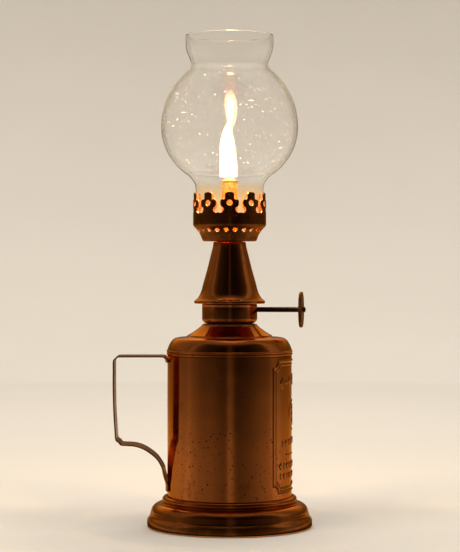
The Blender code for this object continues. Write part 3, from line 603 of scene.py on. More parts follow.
def panel_relief(u, v):
    """Height of the embossing at (sideways, height) on the unrolled wall, all in millimetres."""
    half_w = PANEL_HALF_ANGLE * wall_r / MM
    middle = (PANEL_LOW + PANEL_HIGH) / 2
    half_h = (PANEL_HIGH - PANEL_LOW) / 2
    du, dv = np.abs(u) - half_w, np.abs(v - middle) - half_h
    edge = np.maximum(np.maximum(du, dv), NOTCH - np.hypot(du, dv))
    relief = ramp_up(np.abs(edge), 0.32, 0.4)

    def press(shape, share=1.0):
        nonlocal relief
        relief = np.maximum(relief, share * shape)

    def lozenge(cu, cv, w, h):
        press(ramp_up((np.abs(u - cu) / w + np.abs(v - cv) / h - 1) * min(w, h), 0.0, 0.35))

    def pellet(cu, cv, r, share=1.0):
        press(ramp_up(np.hypot(u - cu, v - cv) - r, 0.0, 0.4), share)

    def bar(a, b, half_width, soft, share=1.0):
        dx, dy = b[0] - a[0], b[1] - a[1]
        t = np.clip(((u - a[0]) * dx + (v - a[1]) * dy) / (dx * dx + dy * dy), 0, 1)
        press(ramp_up(np.hypot(u - a[0] - t * dx, v - a[1] - t * dy), half_width, soft), share)

    press(ramp_up(np.abs(edge + 1.9), 0.10, 0.28), 0.55)
    for i in range(-4, 5):
        centre = (i * GARLAND_STEP, GARLAND_Z + 1.6 * (1 - (i / 4.5) ** 2))
        if i % 2:
            pellet(*centre, 0.85)
        else:
            lozenge(*centre, 1.9, 2.7)
    for side in (1, -1):
        for a in np.linspace(0.25, 2.85, 24):
            pellet(side * WREATH_R * sin(a), ROSE_Z + WREATH_R * cos(a) * 0.72, 0.34, 0.8)
    turn = np.arctan2(v - ROSE_Z, u)
    reach = np.hypot(u, v - ROSE_Z)
    petal = ROSE_R * (0.62 + 0.38 * np.abs(np.cos(4 * turn)))
    eye = 1 - 0.55 * ramp_up(np.abs(reach - 2.3), 0.1, 0.5)
    press(ramp_up(reach - petal, 0.0, 0.6) * eye, 0.9)
    for row, (height, count, step, w, h) in enumerate(ORNAMENT_ROWS):
        for i in range(count):
            cu = (i - (count - 1) / 2) * step
            cv = height + (1.1 * (1 - (cu / 20) ** 2) if row == 0 else 0.0)
            if (i + row) % 2:
                lozenge(cu, cv, w, h)
            else:
                bar((cu, cv - 0.7 * h), (cu, cv + 0.7 * h), 0.28, 0.32)
    for i in range(-2, 3):
        pellet(i * 2.6, 22.4, 0.55 if i else 0.8)
    bar((-RULE_HALF, RULE_Z), (RULE_HALF, RULE_Z), 0.12, 0.3, 0.6)
    return RAISED * relief - SUNK * ramp_up(edge, -0.5, 0.5)


def make_tank_wall():
    """The drawn tube, finely meshed under the panel and a little uneven with age."""
    margin = 1.2 * MM
    reach = PANEL_HALF_ANGLE + margin / wall_r
    turns = np.concatenate([np.arange(-reach, reach, 0.20 * MM / wall_r),
                            np.arange(reach, 2 * pi - reach, radians(1.2))])
    fine_from, fine_to = PANEL_LOW * MM - margin, (PANEL_HIGH + 1.0) * MM
    rows = np.concatenate([np.arange(wall_low, fine_from, 1.2 * MM),
                           np.arange(fine_from, fine_to, 0.22 * MM), [wall_high]])
    t, z = np.meshgrid(turns, rows)
    relief = np.where(np.abs(t) <= reach, panel_relief(t * wall_r / MM, z / MM) * MM, 0.0)
    sway = 0.07 * MM * np.sin(2 * t + 0.7) * np.sin(z / (23 * MM))
    sway += 0.04 * MM * np.sin(5 * t + z / (9 * MM)) * np.sin(z / (14 * MM) + 1.0)
    sway *= np.clip((wall_high - z) / (12 * MM), 0, 1)
    sway *= np.clip((z - wall_low - 5 * MM) / (12 * MM), 0, 1)
    r = wall_r - 0.05 * MM + relief + sway
    verts = np.stack([r * np.cos(t), r * np.sin(t), z], -1).reshape(-1, 3)
    n, m = len(turns), len(rows)
    i, j = np.meshgrid(np.arange(n), np.arange(m - 1))
    k = (i + 1) % n
    faces = np.stack([j * n + i, j * n + k, (j + 1) * n + k, (j + 1) * n + i], -1).reshape(-1, 4)
    mesh = bpy.data.meshes.new("tank_wall")
    mesh.from_pydata(verts.tolist(), [], faces.tolist())
    dress(new_object("tank_wall", mesh, BODY, 0), "reservoir", ["reservoir_shell"])


make_tank_wall()


# ---- shoulder

FIT_GAP = 0.3 * MM
neck_hole = size_of("neck_ring")[0] + FIT_GAP
lip_r = size_of("neck_gasket")[0] + FIT_GAP + SHEET
shoulder_r, _, lip_z = size_of("reservoir_shoulder")
seam_low = wall_high + FIT_GAP
seam_high = seam_low + 2.4 * MM
crease_z = lip_z - 5.5 * MM
crease_r = wall_r - 10.3 * MM
seam_swell = shoulder_r - wall_r

shoulder_path = at(neck_hole, lip_z, (0, -0.8)) + at(lip_r - SHEET, lip_z, (-0.1, -0.8))
shoulder_path += rounded(at(lip_r - SHEET, lip_z, (0, -0.7), (0, 0))
                         + at(lip_r, lip_z, (0, 0), (0.3, -0.5)), 0.15 * MM, 4)
shoulder_path += arc(*at(lip_r, lip_z, (0.5, -0.75)), (crease_r, crease_z), -0.28 * MM, 10)
shoulder_path += arc(*at(crease_r, crease_z, (0.15, -0.25), (0.9, -0.85)), -0.16 * MM, 5)[1:]
dome = at(wall_r, crease_z, (-9, -0.95), (-7.4, -0.95), (-5.6, -1.15))
dome += at(wall_r, seam_high, (-3.7, 6), (-2.1, 4.6), (-1.05, 2.9), (-0.35, 1.3), (0, 0.25))
shoulder_path += smooth_curve(dome, 6)
shoulder_path += arc(*at(wall_r, seam_high, (-0.05, 0.1), (-0.05, -1.05)),
                     seam_swell + 0.05 * MM, 9)
shoulder_path += arc(*at(wall_r, seam_high, (-0.05, -1.15)), *at(wall_r, seam_low, (-0.02, 0.02)),
                     seam_swell + 0.03 * MM, 9)
shoulder_path += at(wall_r - SHEET - FIT_GAP, seam_low, (0, 0), (0, -4))
lathe("shoulder", shell_rows(shoulder_path, 0.35 * MM), SHOULDER, "reservoir",
      ["reservoir_shoulder"], segments=256)


# ---- burner

drum_r, drum_low, drum_high = size_of("burner_drum")
drum_path = at(drum_r, drum_high, (-0.25, 0), (0, -0.25), (0, -1), (-0.12, -1.25), (-0.02, -1.5))
drum_path += arc(*at(drum_r, drum_low, (0, 2.4), (-2.4, 0)), 0.72 * MM, 14)
drum_path += at(0, drum_low, (11, 0))
drum = lathe("drum", shell_rows(drum_path, 0.4 * MM), BURNER, "burner", ["burner_drum"],
             segments=192)

TUBE_WALL = 0.4 * MM
AIR_GAP = 2.15 * MM
CONE_SHEET = 0.6 * MM
cone_r, cone_low, cone_stub = size_of("burner_cone")
tube_bore = size_of("wick")[0] + 0.35 * MM
tube_wall = tube_bore + TUBE_WALL
stub_r = tube_wall + AIR_GAP + CONE_SHEET
cone_top = cone_low + 31.4 * MM
top_r = stub_r + 1.6 * MM
cone_path = [(stub_r, cone_stub), (stub_r, cone_top)]
cone_path += rounded(at(stub_r, cone_top, (0.05, 0))
                     + at(top_r, cone_top, (-0.15, 0), (0, -0.6), (0, -1.1), (0.1, -1.6)),
                     0.3 * MM, 5)
bell = at(top_r, cone_top, (0.2, -2.4), (1.6, -8)) + at(top_r, cone_low, (3.2, 17))
bell += at(cone_r, cone_low, (-4.75, 10.5), (-3.95, 7.3), (-3.1, 4.9), (-1.9, 2.9), (-0.7, 1.75))
cone_path += smooth_curve(bell, 6)
cone_path += arc(*at(cone_r, cone_low, (-0.45, 1.6), (-0.15, 0.1)), 0.3 * MM, 8)
cone_path += at(cone_r, cone_low, (-0.3, 0))
lathe("cone", shell_rows(cone_path, 0.5 * MM), BURNER, "burner", ["burner_cone"], segments=224)

tube_r, tube_low, tube_high = size_of("wick_tube")
tube_path = rounded(at(tube_bore, tube_high, (0, -0.1)) + at(tube_wall, tube_high, (0, 0))
                    + at(tube_r, tube_high, (0, -0.2), (0, -0.75))
                    + at(tube_wall, tube_high, (0, -0.95), (0, -2)), 0.15 * MM, 4)
tube_path += at(tube_wall, tube_high, (0, -3), (0, -12))
tube_path += [(tube_wall, cone_stub), (tube_wall, tube_low), (tube_bore, tube_low)]
pipe = lathe("wick_pipe", tube_path, HEATED, "burner", ["wick_tube"], segments=96)


# ---- winder

KNOB_HALF = 0.8 * MM
NOTCHES = 72
NOTCH_DEPTH = 0.24 * MM
RIVET_R = 1.6 * MM
RIVET_HEAD = 1.2 * MM
PIN_R = 1.3 * MM
PIN_TAIL = -8.2 * MM

drive = [j for j in frame["joints"] if j["child"] == "wick_drive"][0]
spin = Vector(drive["axis"]).normalized()
if spin.x < 0:
    spin = -spin
pin = Vector(drive["pos_m"])
sideways = Vector((0, 0, 1)).cross(spin)
winder = Matrix(((0, sideways.x, spin.x, pin.x),
                 (0, sideways.y, spin.y, pin.y),
                 (-1, 0, 0, pin.z),
                 (0, 0, 0, 1)))

knob_low, knob_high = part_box("knob_disc")
knob_r = (knob_high.z - knob_low.z) / 2
knob_mid = ((knob_low + knob_high) / 2 - pin).dot(spin)
knob_front = knob_mid + KNOB_HALF
knob_back = knob_mid - KNOB_HALF


def make_knob():
    """A thin disc with a milled edge and turned faces."""
    face = [(1.3, 0), (4.2, 0), (4.6, -0.18), (6.9, -0.18), (7.3, 0)]
    rows = at(0, knob_front, *face) + at(knob_r, knob_front, (-0.25, 0), (0, -0.28))
    rows += at(knob_r, knob_back, (0, 0.28), (-0.25, 0))
    rows += at(0, knob_back, *((r, -z) for r, z in reversed(face)))
    mesh = lathe_mesh("knob", rounded(rows, 0.12 * MM, 3), NOTCHES * 6)
    for vertex in mesh.vertices:
        reach = hypot(vertex.co.x, vertex.co.y)
        if reach > knob_r - 0.3 * MM:
            turn = atan2(vertex.co.y, vertex.co.x)
            dip = NOTCH_DEPTH * (0.5 - 0.5 * cos(NOTCHES * turn)) ** 1.4
            vertex.co.x *= (reach - dip) / reach
            vertex.co.y *= (reach - dip) / reach
    mesh.transform(winder)
    dress(new_object("knob", mesh, FITTING, 40), "wick_drive", ["knob_disc"])


make_knob()

rivet_top = knob_front + FIT_GAP + RIVET_HEAD
rivet_foot = rivet_top - RIVET_HEAD
rivet_path = [(0.0, rivet_top)] + arc((0.0, rivet_top), (RIVET_R, rivet_foot), 0.48 * MM, 12)[1:]
rivet_path += at(RIVET_R, rivet_foot, (-0.1, 0)) + at(0, rivet_foot, (1, 0))
rivet_path += at(0, knob_back, (1, 0), (0, 0))
lathe("rivet_head", rivet_path, STEEL, "wick_drive", ["knob_rivet"], 64, False, winder)

pin_path = [(0.0, knob_back - FIT_GAP), (PIN_R, knob_back - FIT_GAP)]
pin_path += [(PIN_R, z * MM) for z in np.linspace(33.0, -7.0, 9)]
pin_path += at(0, PIN_TAIL, (0.95, 0), (0, 0))
lathe("winder_pin", pin_path, STEEL, "wick_drive", ["spindle"], 48, False, winder)

# the bush's hole through the drum, along the spindle, and the sprocket's slot in the wick pipe
BUSH_FROM, BUSH_TO = 20 * MM, 8 * MM
SLOT_PLACE = (0.0, -3.3 * MM, 0.0)
SLOT_SIZE = (5.8 * MM, 4.0 * MM, 3.3 * MM)

bush_low, bush_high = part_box("spindle_bush")
bush_r = (bush_high.z - bush_low.z) / 2
bush_hole = lathe_mesh("bush_hole", [(0.0, BUSH_FROM), (bush_r, BUSH_FROM), (bush_r, BUSH_TO),
                                     (0.0, BUSH_TO)], 48, False)
bush_hole.transform(winder)
cut_away(drum, bush_hole)

block = bmesh.new()
bmesh.ops.create_cube(block, size=1.0, matrix=winder @ Matrix.Translation(SLOT_PLACE)
                      @ Matrix.Diagonal((*SLOT_SIZE, 1.0)))
sprocket_slot = bpy.data.meshes.new("sprocket_slot")
block.to_mesh(sprocket_slot)
block.free()
cut_away(pipe, sprocket_slot)


# ---- wick and flame

STRANDS = 9
CHARRED = 12 * MM

wick_r, wick_low, wick_high = size_of("wick")
wick_path = [(0.0, wick_high), (wick_r * 0.45, wick_high - 0.05 * MM),
             (wick_r * 0.8, wick_high - 0.2 * MM)] + at(wick_r, wick_high, (-0.1, -0.55), (0, -1.1))
wick_path += [(wick_r, z) for z in np.linspace(wick_high - 1.6 * MM, wick_high - CHARRED, 22)]
wick_path += [(wick_r, wick_low), (0.0, wick_low)]
wick_mesh = lathe_mesh("plaited_wick", wick_path, 96, False)
for vertex in wick_mesh.vertices:
    turn = atan2(vertex.co.y, vertex.co.x)
    near_top = max(0.0, min(1.0, (vertex.co.z - wick_high + CHARRED) / (3 * MM)))
    strand = 0.5 - 0.5 * cos(STRANDS * turn + vertex.co.z / (0.9 * MM))
    scale = 1 - 0.06 * strand * near_top
    vertex.co.x *= scale
    vertex.co.y *= scale
cotton = wick_cotton("plaited_cotton", wick_high - 2.2 * MM, wick_high - 0.6 * MM)
dress(new_object("plaited_wick", wick_mesh, cotton, 0), "wick", ["wick"])


# (height, half width, half depth, lean) of the flame's sections, in millimetres
FLAME = [(0.0, 4.1, 3.6, -0.55), (0.7, 4.2, 3.75, -0.58), (5.5, 4.1, 3.65, -0.62),
         (11.5, 3.85, 3.1, -0.9), (14.2, 3.7, 2.9, -1.05), (17.8, 3.25, 2.7, -1.15),
         (20.0, 2.8, 2.4, -1.15), (22.0, 2.35, 2.2, -1.1), (24.0, 1.8, 1.8, -0.95),
         (26.0, 1.25, 1.5, -0.6), (27.9, 0.85, 1.3, 0.1), (29.8, 0.95, 1.4, 0.42),
         (32.2, 1.3, 1.5, 0.5), (35.4, 1.6, 1.4, 0.5), (37.6, 1.5, 1.1, 0.45),
         (39.3, 1.15, 0.8, 0.4), (40.3, 0.35, 0.3, 0.38)]
FLAME_STRETCH = 0.965
FLAME_FOOT = 1.0
POCKET_HEIGHT = 4.9
CORE_POCKET, MANTLE_POCKET = 3.4, 3.3
MANTLE_GROWTH = 0.32


def flame_at(grow):
    """The flame's sections over the wick's top, each wider by grow."""
    foot = wick_high / MM + FLAME_FOOT
    return [(foot + FLAME_STRETCH * z, w + grow, d + grow, lean) for z, w, d, lean in FLAME]


def flame_mesh(name, sections, pocket, segments=48):
    """A body lofted through the sections.

    A pocket of the given radius goes up into its foot, so the wick can rise inside it."""
    foot = sections[0][0]
    table = [(foot + POCKET_HEIGHT, pocket, pocket, 0.0), (foot, pocket, pocket, 0.0)]
    table += smooth_curve(sections, 6)
    turns = [2 * pi * i / segments for i in range(segments)]
    return lofted(name, [[((w * cos(a) + lean) * MM, d * sin(a) * MM, z * MM)
                          for a in turns] for z, w, d, lean in table])


def make_flame(name, sections, pocket, material):
    """A flame body that rides with the burner, casts no shadow and has a mesh of its own."""
    piece = new_object(name, flame_mesh(name, sections, pocket), material, 0)
    unseen(piece, "shadow")
    dress(piece, "burner", ())
    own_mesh(piece)


make_flame("flame", flame_at(0.0), CORE_POCKET,
           flame_material("flame_core", wick_high, wick_high + 43 * MM, 20.0, 1.0,
                          (1.0, 0.74, 0.36), (0.45, 0.45, 0.95)))
mantle = flame_at(MANTLE_GROWTH)
mantle[0] = (mantle[0][0] - 0.15, *mantle[0][1:])
mantle[-1] = (mantle[-1][0] + 0.2, 0.3, 0.2, mantle[-1][3])
make_flame("flame_mantle", mantle, MANTLE_POCKET,
           flame_material("flame_mantle", wick_high, wick_high + 44 * MM, 2.2, 0.20,
                          (1.0, 0.6, 0.2), (0.25, 0.25, 0.9)))


# ---- gallery

FLEURONS = 10
BOWL_HOLES = 22
FLEURON_HOLE_R = 1.5 * MM
BOWL_HOLE_R = 1.25 * MM
FRONT = -pi / 2

crown_r, crown_low, crown_high = size_of("gallery_crown")
mid_r = crown_r - SHEET / 2
band_z = crown_low + 8.2 * MM
fleuron_z = band_z + 5.4 * MM
bulb_z = fleuron_z + 5.4 * MM
bowl_r = crown_r - 5.2 * MM
bowl_hole_z = crown_low + 5.5 * MM
pitch = 2 * pi * mid_r / FLEURONS
girth = FLEURONS * pitch


def gallery_profile():
    """(radius, height) of the sheet's outer face, from the bowl's flange to the fleurons' tops."""
    path = at(bowl_r, crown_low, (-1.2, 0))
    path += arc(*at(bowl_r, crown_low, (-0.45, 0), (0.35, 0.5)), -0.22 * MM, 5)
    path += arc(*at(bowl_r, crown_low, (0.6, 0.9)), *at(crown_r, band_z, (-0.5, -0.9)),
                0.55 * MM, 14)
    path += arc(*at(crown_r, band_z, (-0.3, -0.45), (0, 0.6)), -0.12 * MM, 4)
    return path + [(crown_r, crown_high)]


def fleuron_half():
    """Half a fleuron from the middle of its top to the bottom of the gap: (sideways, height)."""
    tab_foot = crown_high - 3.3 * MM
    tab, bulge, waist = 2.25 * MM, 4.65 * MM, 2.75 * MM
    side = arc((0.0, crown_high), *at(tab, crown_high, (-0.45, -0.35)), 0.12 * MM, 5)
    side += arc(*at(tab, crown_high, (-0.35, -0.42), (0, -1.1)), 0.12 * MM, 4)
    side += at(tab, tab_foot, (0, 0.5))
    side += arc(*at(tab, tab_foot, (0, 0.25), (0.55, -0.3)), -0.14 * MM, 4)
    side += arc(*at(tab, tab_foot, (0.9, -0.4)), *at(bulge, bulb_z, (0, 0.3)), 0.62 * MM, 10)
    side += arc(*at(bulge, bulb_z, (0, -0.2)), *at(waist, fleuron_z, (0.55, 3.15)), 0.42 * MM, 9)
    side += arc(*at(waist, fleuron_z, (0.45, 2.95)), *at(pitch / 2, fleuron_z, (0, 0.75)),
                -1.35 * MM, 14)
    return side


def crown_loops(heights, radii, reach):
    """Outline and holes of the crown's sheet, unrolled: (along the girth, up the profile)."""
    def to_reach(z):
        return float(np.interp(z, heights, reach))

    half = fleuron_half()
    whole = [(-x, z) for x, z in reversed(half)] + half[1:]
    outline, holes = [], []
    for i in range(FLEURONS):
        middle = (i + 0.5) * pitch
        outline += [(middle + x, to_reach(z)) for x, z in (whole[1:] if i else whole)]
        holes.append((middle, to_reach(bulb_z), FLEURON_HOLE_R, FLEURON_HOLE_R, 28))
    outline += [(girth, 0.0), (0.0, 0.0)]
    widening = mid_r / float(np.interp(bowl_hole_z, heights, radii))
    for i in range(BOWL_HOLES):
        turn = radians(10.0) + 2 * pi * i / BOWL_HOLES
        holes.append(((0.5 * pitch + turn * mid_r) % girth, to_reach(bowl_hole_z),
                      BOWL_HOLE_R * widening, BOWL_HOLE_R, 24))
    loops = [outline]
    for cx, cy, rx, ry, n in holes:
        turns = [2 * pi * k / n for k in range(n)]
        loops.append([(cx + rx * cos(a), cy + ry * sin(a)) for a in turns])
    return loops


def filled(loops):
    """A flat mesh of the area inside the first loop and outside the others."""
    drawing = bpy.data.curves.new("crown", "CURVE")
    drawing.dimensions = "2D"
    drawing.fill_mode = "BOTH"
    for loop in loops:
        spline = drawing.splines.new("POLY")
        spline.points.add(len(loop) - 1)
        for point, (x, y) in zip(spline.points, loop):
            point.co = (x, y, 0.0, 1.0)
        spline.use_cyclic_u = True
    sketch = placed("crown_sketch", drawing)
    mesh = settled(sketch)
    bpy.data.objects.remove(sketch, do_unlink=True)
    return mesh


def make_crown():
    """The pierced sheet is drawn flat, cut into a grid, rolled up and thickened."""
    profile = gallery_profile()
    reach = [0.0]
    for a, b in zip(profile, profile[1:]):
        reach.append(reach[-1] + hypot(b[0] - a[0], b[1] - a[1]))
    radii, heights = zip(*profile)
    mesh = filled(crown_loops(heights, radii, reach))
    sheet = bmesh.new()
    sheet.from_mesh(mesh)
    bmesh.ops.remove_doubles(sheet, verts=sheet.verts, dist=0.000002)
    cuts = [((girth * i / 150, 0, 0), (1, 0, 0)) for i in range(1, 150)]
    cuts += [((0, s, 0), (0, 1, 0)) for s in reach[1:-1]]
    cuts += [((0, s, 0), (0, 1, 0)) for s in np.arange(reach[-2] + 1.2 * MM, reach[-1], 1.2 * MM)]
    for place, normal in cuts:
        bmesh.ops.bisect_plane(sheet, geom=sheet.verts[:] + sheet.edges[:] + sheet.faces[:],
                               plane_co=place, plane_no=normal, dist=0.0000004)
    for vertex in sheet.verts:
        x, s = vertex.co.x, vertex.co.y
        turn = FRONT + (x - 0.5 * pitch) / mid_r
        r, z = float(np.interp(s, reach, radii)), float(np.interp(s, reach, heights))
        vertex.co = (r * cos(turn), r * sin(turn), z)
    bmesh.ops.remove_doubles(sheet, verts=sheet.verts, dist=0.00001)
    bmesh.ops.recalc_face_normals(sheet, faces=sheet.faces)
    outward = sum(1 if f.normal.dot(Vector((*f.calc_center_median().xy, 0))) > 0 else -1
                  for f in sheet.faces)
    if outward < 0:
        bmesh.ops.reverse_faces(sheet, faces=sheet.faces)
    sheet.to_mesh(mesh)
    sheet.free()
    mesh.name = "crown"
    mesh.materials.clear()
    piece = new_object("crown", mesh, CROWN, 0)
    solid = piece.modifiers.new("sheet", "SOLIDIFY")
    solid.thickness = SHEET
    solid.offset = -1.0
    solid.use_even_offset = True
    thick = settled(piece)
    piece.modifiers.clear()
    piece.data = thick
    thick.shade_smooth()
    thick.set_sharp_from_angle(angle=radians(38))
    soften = piece.modifiers.new("soften", "BEVEL")
    soften.width = 0.09 * MM
    soften.segments = 2
    soften.limit_method = "ANGLE"
    soften.angle_limit = radians(50)
    soften.use_clamp_overlap = True
    dress(piece, "gallery", ["gallery_crown"])


make_crown()

HIDDEN_PARTS = {
    FITTING: ["threaded_plug", "drum_lid", "spindle_bush", "spindle_bracket", "gallery_floor",
              "neck_ring", "reservoir_floor"],
    LEATHER: ["neck_gasket"],
    LEAD: ["ballast_weight"],
    STEEL: ["wick_sprocket"],
    FELT: ["felt_ring_%d" % index for index in range(1, 7)],
}
for material, nodes in HIDDEN_PARTS.items():
    for node in nodes:
        frame["nodes"][node].data.materials[0] = material


# ---- globe

GLASS_WALL = 1.15 * MM
DROP, RISE = 30.8 * MM, 36.5 * MM

globe_r, globe_low, globe_high = size_of("glass_globe")
globe_neck = crown_r - SHEET - 0.9 * MM
waist_r = 19.6 * MM
rim_r = 22.4 * MM
neck_top = globe_low + 18.5 * MM
waist_z = globe_high - 14.9 * MM
equator = (neck_top + 6.0 * MM
           + sqrt(1 - ((globe_neck + 2.3 * MM) / globe_r) ** 2) * DROP)

collar = at(rim_r, globe_high, (-0.12, -0.4), (-0.02, -1.6), (0, -3.6), (-0.05, -5.6),
            (-0.42, -7.9), (-1.25, -10.1), (-2.15, -12.2))
collar += at(waist_r, waist_z, (0.1, 1.1), (0, 0), (0.35, -1.3), (1.35, -2.7))
start = asin((waist_r + 3.2 * MM) / globe_r)
for turn in np.linspace(start, pi / 2, 15):
    collar.append((globe_r * sin(turn), equator + RISE * cos(turn)))
start = asin((globe_neck + 3.6 * MM) / globe_r)
for turn in np.linspace(pi / 2, start, 14)[1:]:
    collar.append((globe_r * sin(turn), equator - DROP * cos(turn)))
collar += at(globe_neck, neck_top, (1.5, 4.4), (0.55, 2.7), (0.12, 0.9), (0, -1.5))
globe_path = at(rim_r, globe_high, (-0.25, -0.05)) + smooth_curve(collar, 5)
globe_path += [(globe_neck, z) for z in np.linspace(neck_top - 4.0 * MM, globe_low + 0.5 * MM, 5)]
globe_path += at(globe_neck, globe_low, (-0.15, 0.05))
glass = lathe("globe", shell_rows(globe_path, GLASS_WALL), GLASS, "globe", ["glass_globe"],
              192, sharp=60)
unseen(glass, "shadow")


def glass_point(turn, z):
    """A point on the globe's outer face and its outward direction."""
    for (r0, z0), (r1, z1) in zip(globe_path, globe_path[1:]):
        if z1 <= z <= z0:
            r = r0 + (r1 - r0) * (z0 - z) / max(z0 - z1, 1e-9)
            n = Vector((z0 - z1, r1 - r0)).normalized()
            flat = Vector((cos(turn), sin(turn), 0))
            return flat * r + Vector((0, 0, z)), (flat * n.x + Vector((0, 0, n.y))).normalized()
    return None, None


SEEDS = 330
STREAKS = 7
SEED_SIZES = [0.07, 0.08, 0.10, 0.13, 0.19]


def make_specks():
    """Seeds in the old glass with a little dust on it; the first few are drawn out to streaks."""
    rng = random.Random(11)
    cloud = bmesh.new()
    for i in range(SEEDS):
        turn = rng.uniform(0, 2 * pi)
        z = rng.uniform(equator - 26 * MM, equator + 27 * MM)
        where, out = glass_point(turn, z)
        if where is None:
            continue
        size = rng.choice(SEED_SIZES) * MM
        turned = out.to_track_quat("Z", "Y").to_matrix().to_4x4()
        length = size * rng.uniform(0.8, 1.6)
        if i < STREAKS:
            length, size = rng.uniform(1.0, 2.2) * MM, 0.06 * MM
        place = Matrix.Translation(where - out * 0.12 * MM) @ turned @ Matrix.Diagonal(
            (length, size, size * 0.5, 1.0))
        bmesh.ops.create_icosphere(cloud, subdivisions=2, radius=1.0, matrix=place)
    mesh = bpy.data.meshes.new("glass_seeds")
    cloud.to_mesh(mesh)
    cloud.free()
    s = Shade("glass_seed_dust_and_glint")
    tone = s.noise(1.5 * MM, 2.0)
    tint = s.mix(tone, (1.0, 0.95, 0.84), (0.75, 0.66, 0.52))
    # The emission makes the seeds shine: painted glints.
    s.set(Base_Color=tint, Roughness=0.5, Emission_Color=tint, Emission_Strength=2.4, Alpha=0.8)
    piece = new_object("glass_seeds", mesh, s.material, 0)
    unseen(piece, "shadow")
    dress(piece, "globe", ())


make_specks()


# ---- handle

STRAP = 0.7 * MM
STRAP_EDGE = 0.24 * MM
END_TAPER = (0.955, 0.985, 0.996)
HUG_REACH = 8.0 * MM

handle_low, handle_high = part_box("handle_strap")
strap_wall = wall_r + FIT_GAP + STRAP / 2


def handle_line():
    """Side view of the strap's middle, (x, z), from the tab under the seam to the lower end."""
    wall = -strap_wall
    grip = handle_low.x + STRAP / 2
    top = handle_high.z - STRAP / 2
    low = handle_low.z
    bend = low + 23.6 * MM
    line = rounded(at(wall, top, (0, -3), (0, 0)) + at(grip, top, (0.05, 0), (0, -15)),
                   1.54 * MM, 10)
    line += at(grip, (top + bend) / 2, (0.25, -4))
    line += rounded(at(grip, bend, (0.6, 12), (1.4, 0), (11, 0)), 2.2 * MM, 10)[:-1]
    line += arc(*at(wall, bend, (-16.6, -0.2)), *at(wall, low, (-4.2, 15.9)), 1.5 * MM, 16)
    line += arc(*at(wall, low, (-1.9, 11.4), (0, 4)), -0.4 * MM, 12)
    return line + at(wall, low, (0, 2), (0, 0))


def strap_section():
    """Outline of the strap across its length: a flat bar with rounded edges."""
    w = (handle_high.y - handle_low.y) / 2 - STRAP_EDGE
    h = STRAP / 2 - STRAP_EDGE
    corners = []
    for cy, ch, begin in ((w, h, 0), (-w, h, 90), (-w, -h, 180), (w, -h, 270)):
        for k in range(5):
            a = radians(begin + 90 * k / 4)
            corners.append((cy + STRAP_EDGE * cos(a), ch + STRAP_EDGE * sin(a)))
    outline = []
    for a, b in zip(corners, corners[1:] + corners[:1]):
        outline += divided(a, b, 12 if abs(b[0] - a[0]) > 1 * MM else 1)
    return outline


def make_handle():
    """The strap, whose ends lie round against the tank's wall."""
    line = handle_line()
    fine = []
    for a, b in zip(line, line[1:]):
        fine += divided(a, b, max(1, int(hypot(b[0] - a[0], b[1] - a[1]) / (0.9 * MM))))
    points = np.array(fine + line[-1:])
    for _ in range(4):
        points[1:-1] = 0.5 * points[1:-1] + 0.25 * (points[:-2] + points[2:])
    along_path = np.gradient(points, axis=0)
    along_path /= np.linalg.norm(along_path, axis=1)[:, None]
    normal = np.stack([along_path[:, 1], -along_path[:, 0]], 1)
    outline = strap_section()
    rings = []
    for i, (p, q) in enumerate(zip(points, normal)):
        end = min(i, len(points) - 1 - i)
        shrink = END_TAPER[end] if end < len(END_TAPER) else 1.0
        hug = max(0.0, min(1.0, 1 - (-p[0] - strap_wall) / HUG_REACH))
        ring = []
        for y, d in outline:
            y *= shrink
            wrap = hug * (strap_wall - sqrt(strap_wall * strap_wall - y * y))
            ring.append((p[0] + q[0] * d + wrap, y, p[1] + q[1] * d))
        rings.append(ring)
    mesh = lofted("handle", rings)
    mesh.validate()
    solid = bmesh.new()
    solid.from_mesh(mesh)
    bmesh.ops.recalc_face_normals(solid, faces=solid.faces)
    solid.to_mesh(mesh)
    solid.free()
    dress(new_object("handle", mesh, HANDLE, 40), "reservoir", ["handle_strap"])


make_handle()


# ---- studio

FLOOR_FLAT, FLOOR_BEND, STAGE_TOP = 1.15, 1.45, 2.6
FLOOR_DROP = 0.0002
FLOOR_COLOUR = (0.80, 0.755, 0.69)


def make_stage():
    """A round cove: a flat floor that curves up into a wall well outside every camera."""
    s = Shade("pale_floor")
    dark = tuple(c * 0.94 for c in FLOOR_COLOUR)
    s.set(Base_Color=s.mix(s.noise(0.25, 3.0), dark, FLOOR_COLOUR), Roughness=0.55,
          Normal=s.height(s.noise(0.004, 3.0), 0.05 * MM, 0.3))
    rows = [(FLOOR_FLAT + FLOOR_BEND, STAGE_TOP)]
    for a in np.linspace(0.0, pi / 2, 25):
        rows.append((FLOOR_FLAT + FLOOR_BEND * cos(a), FLOOR_BEND * (1 - sin(a))))
    rows.append((0.0, 0.0))
    mesh = lathe_mesh("floor", [(r, z - FLOOR_DROP) for r, z in rows], 96, False)
    for polygon in mesh.polygons:
        polygon.flip()
    new_object("floor", mesh, s.material, 0)


make_stage()

# (heading from the camera's side, towards +X; brightness that the metal sees there)
FLAG_LEVELS = [(-180, 0.336), (-149, 0.256), (-133, 0.208), (-121, 0.184), (-100, 0.176),
               (-88, 0.160), (-78, 0.192), (-71, 0.144), (-64, 0.120), (-52, 0.084),
               (-28, 0.064), (-22, 0.050), (-11, 0.037), (-6, 0.042), (-2, 0.110), (4, 0.100),
               (9, 0.037), (16, 0.024), (33, 0.037), (45, 0.056), (57, 0.080), (70, 0.104),
               (77, 0.128), (85, 0.208), (101, 0.200), (112, 0.160), (132, 0.184),
               (148, 0.232), (180, 0.336)]
FLAG_TINT = (1.0, 0.82, 0.60)
FLOOR_BOOST = 1.1
TOP_LEVEL = 0.17
FLAG_DISC_R, FLAG_DISC_Z = 1.13, 0.0004
DOME_R, DOME_CENTRE = 1.14, 0.1


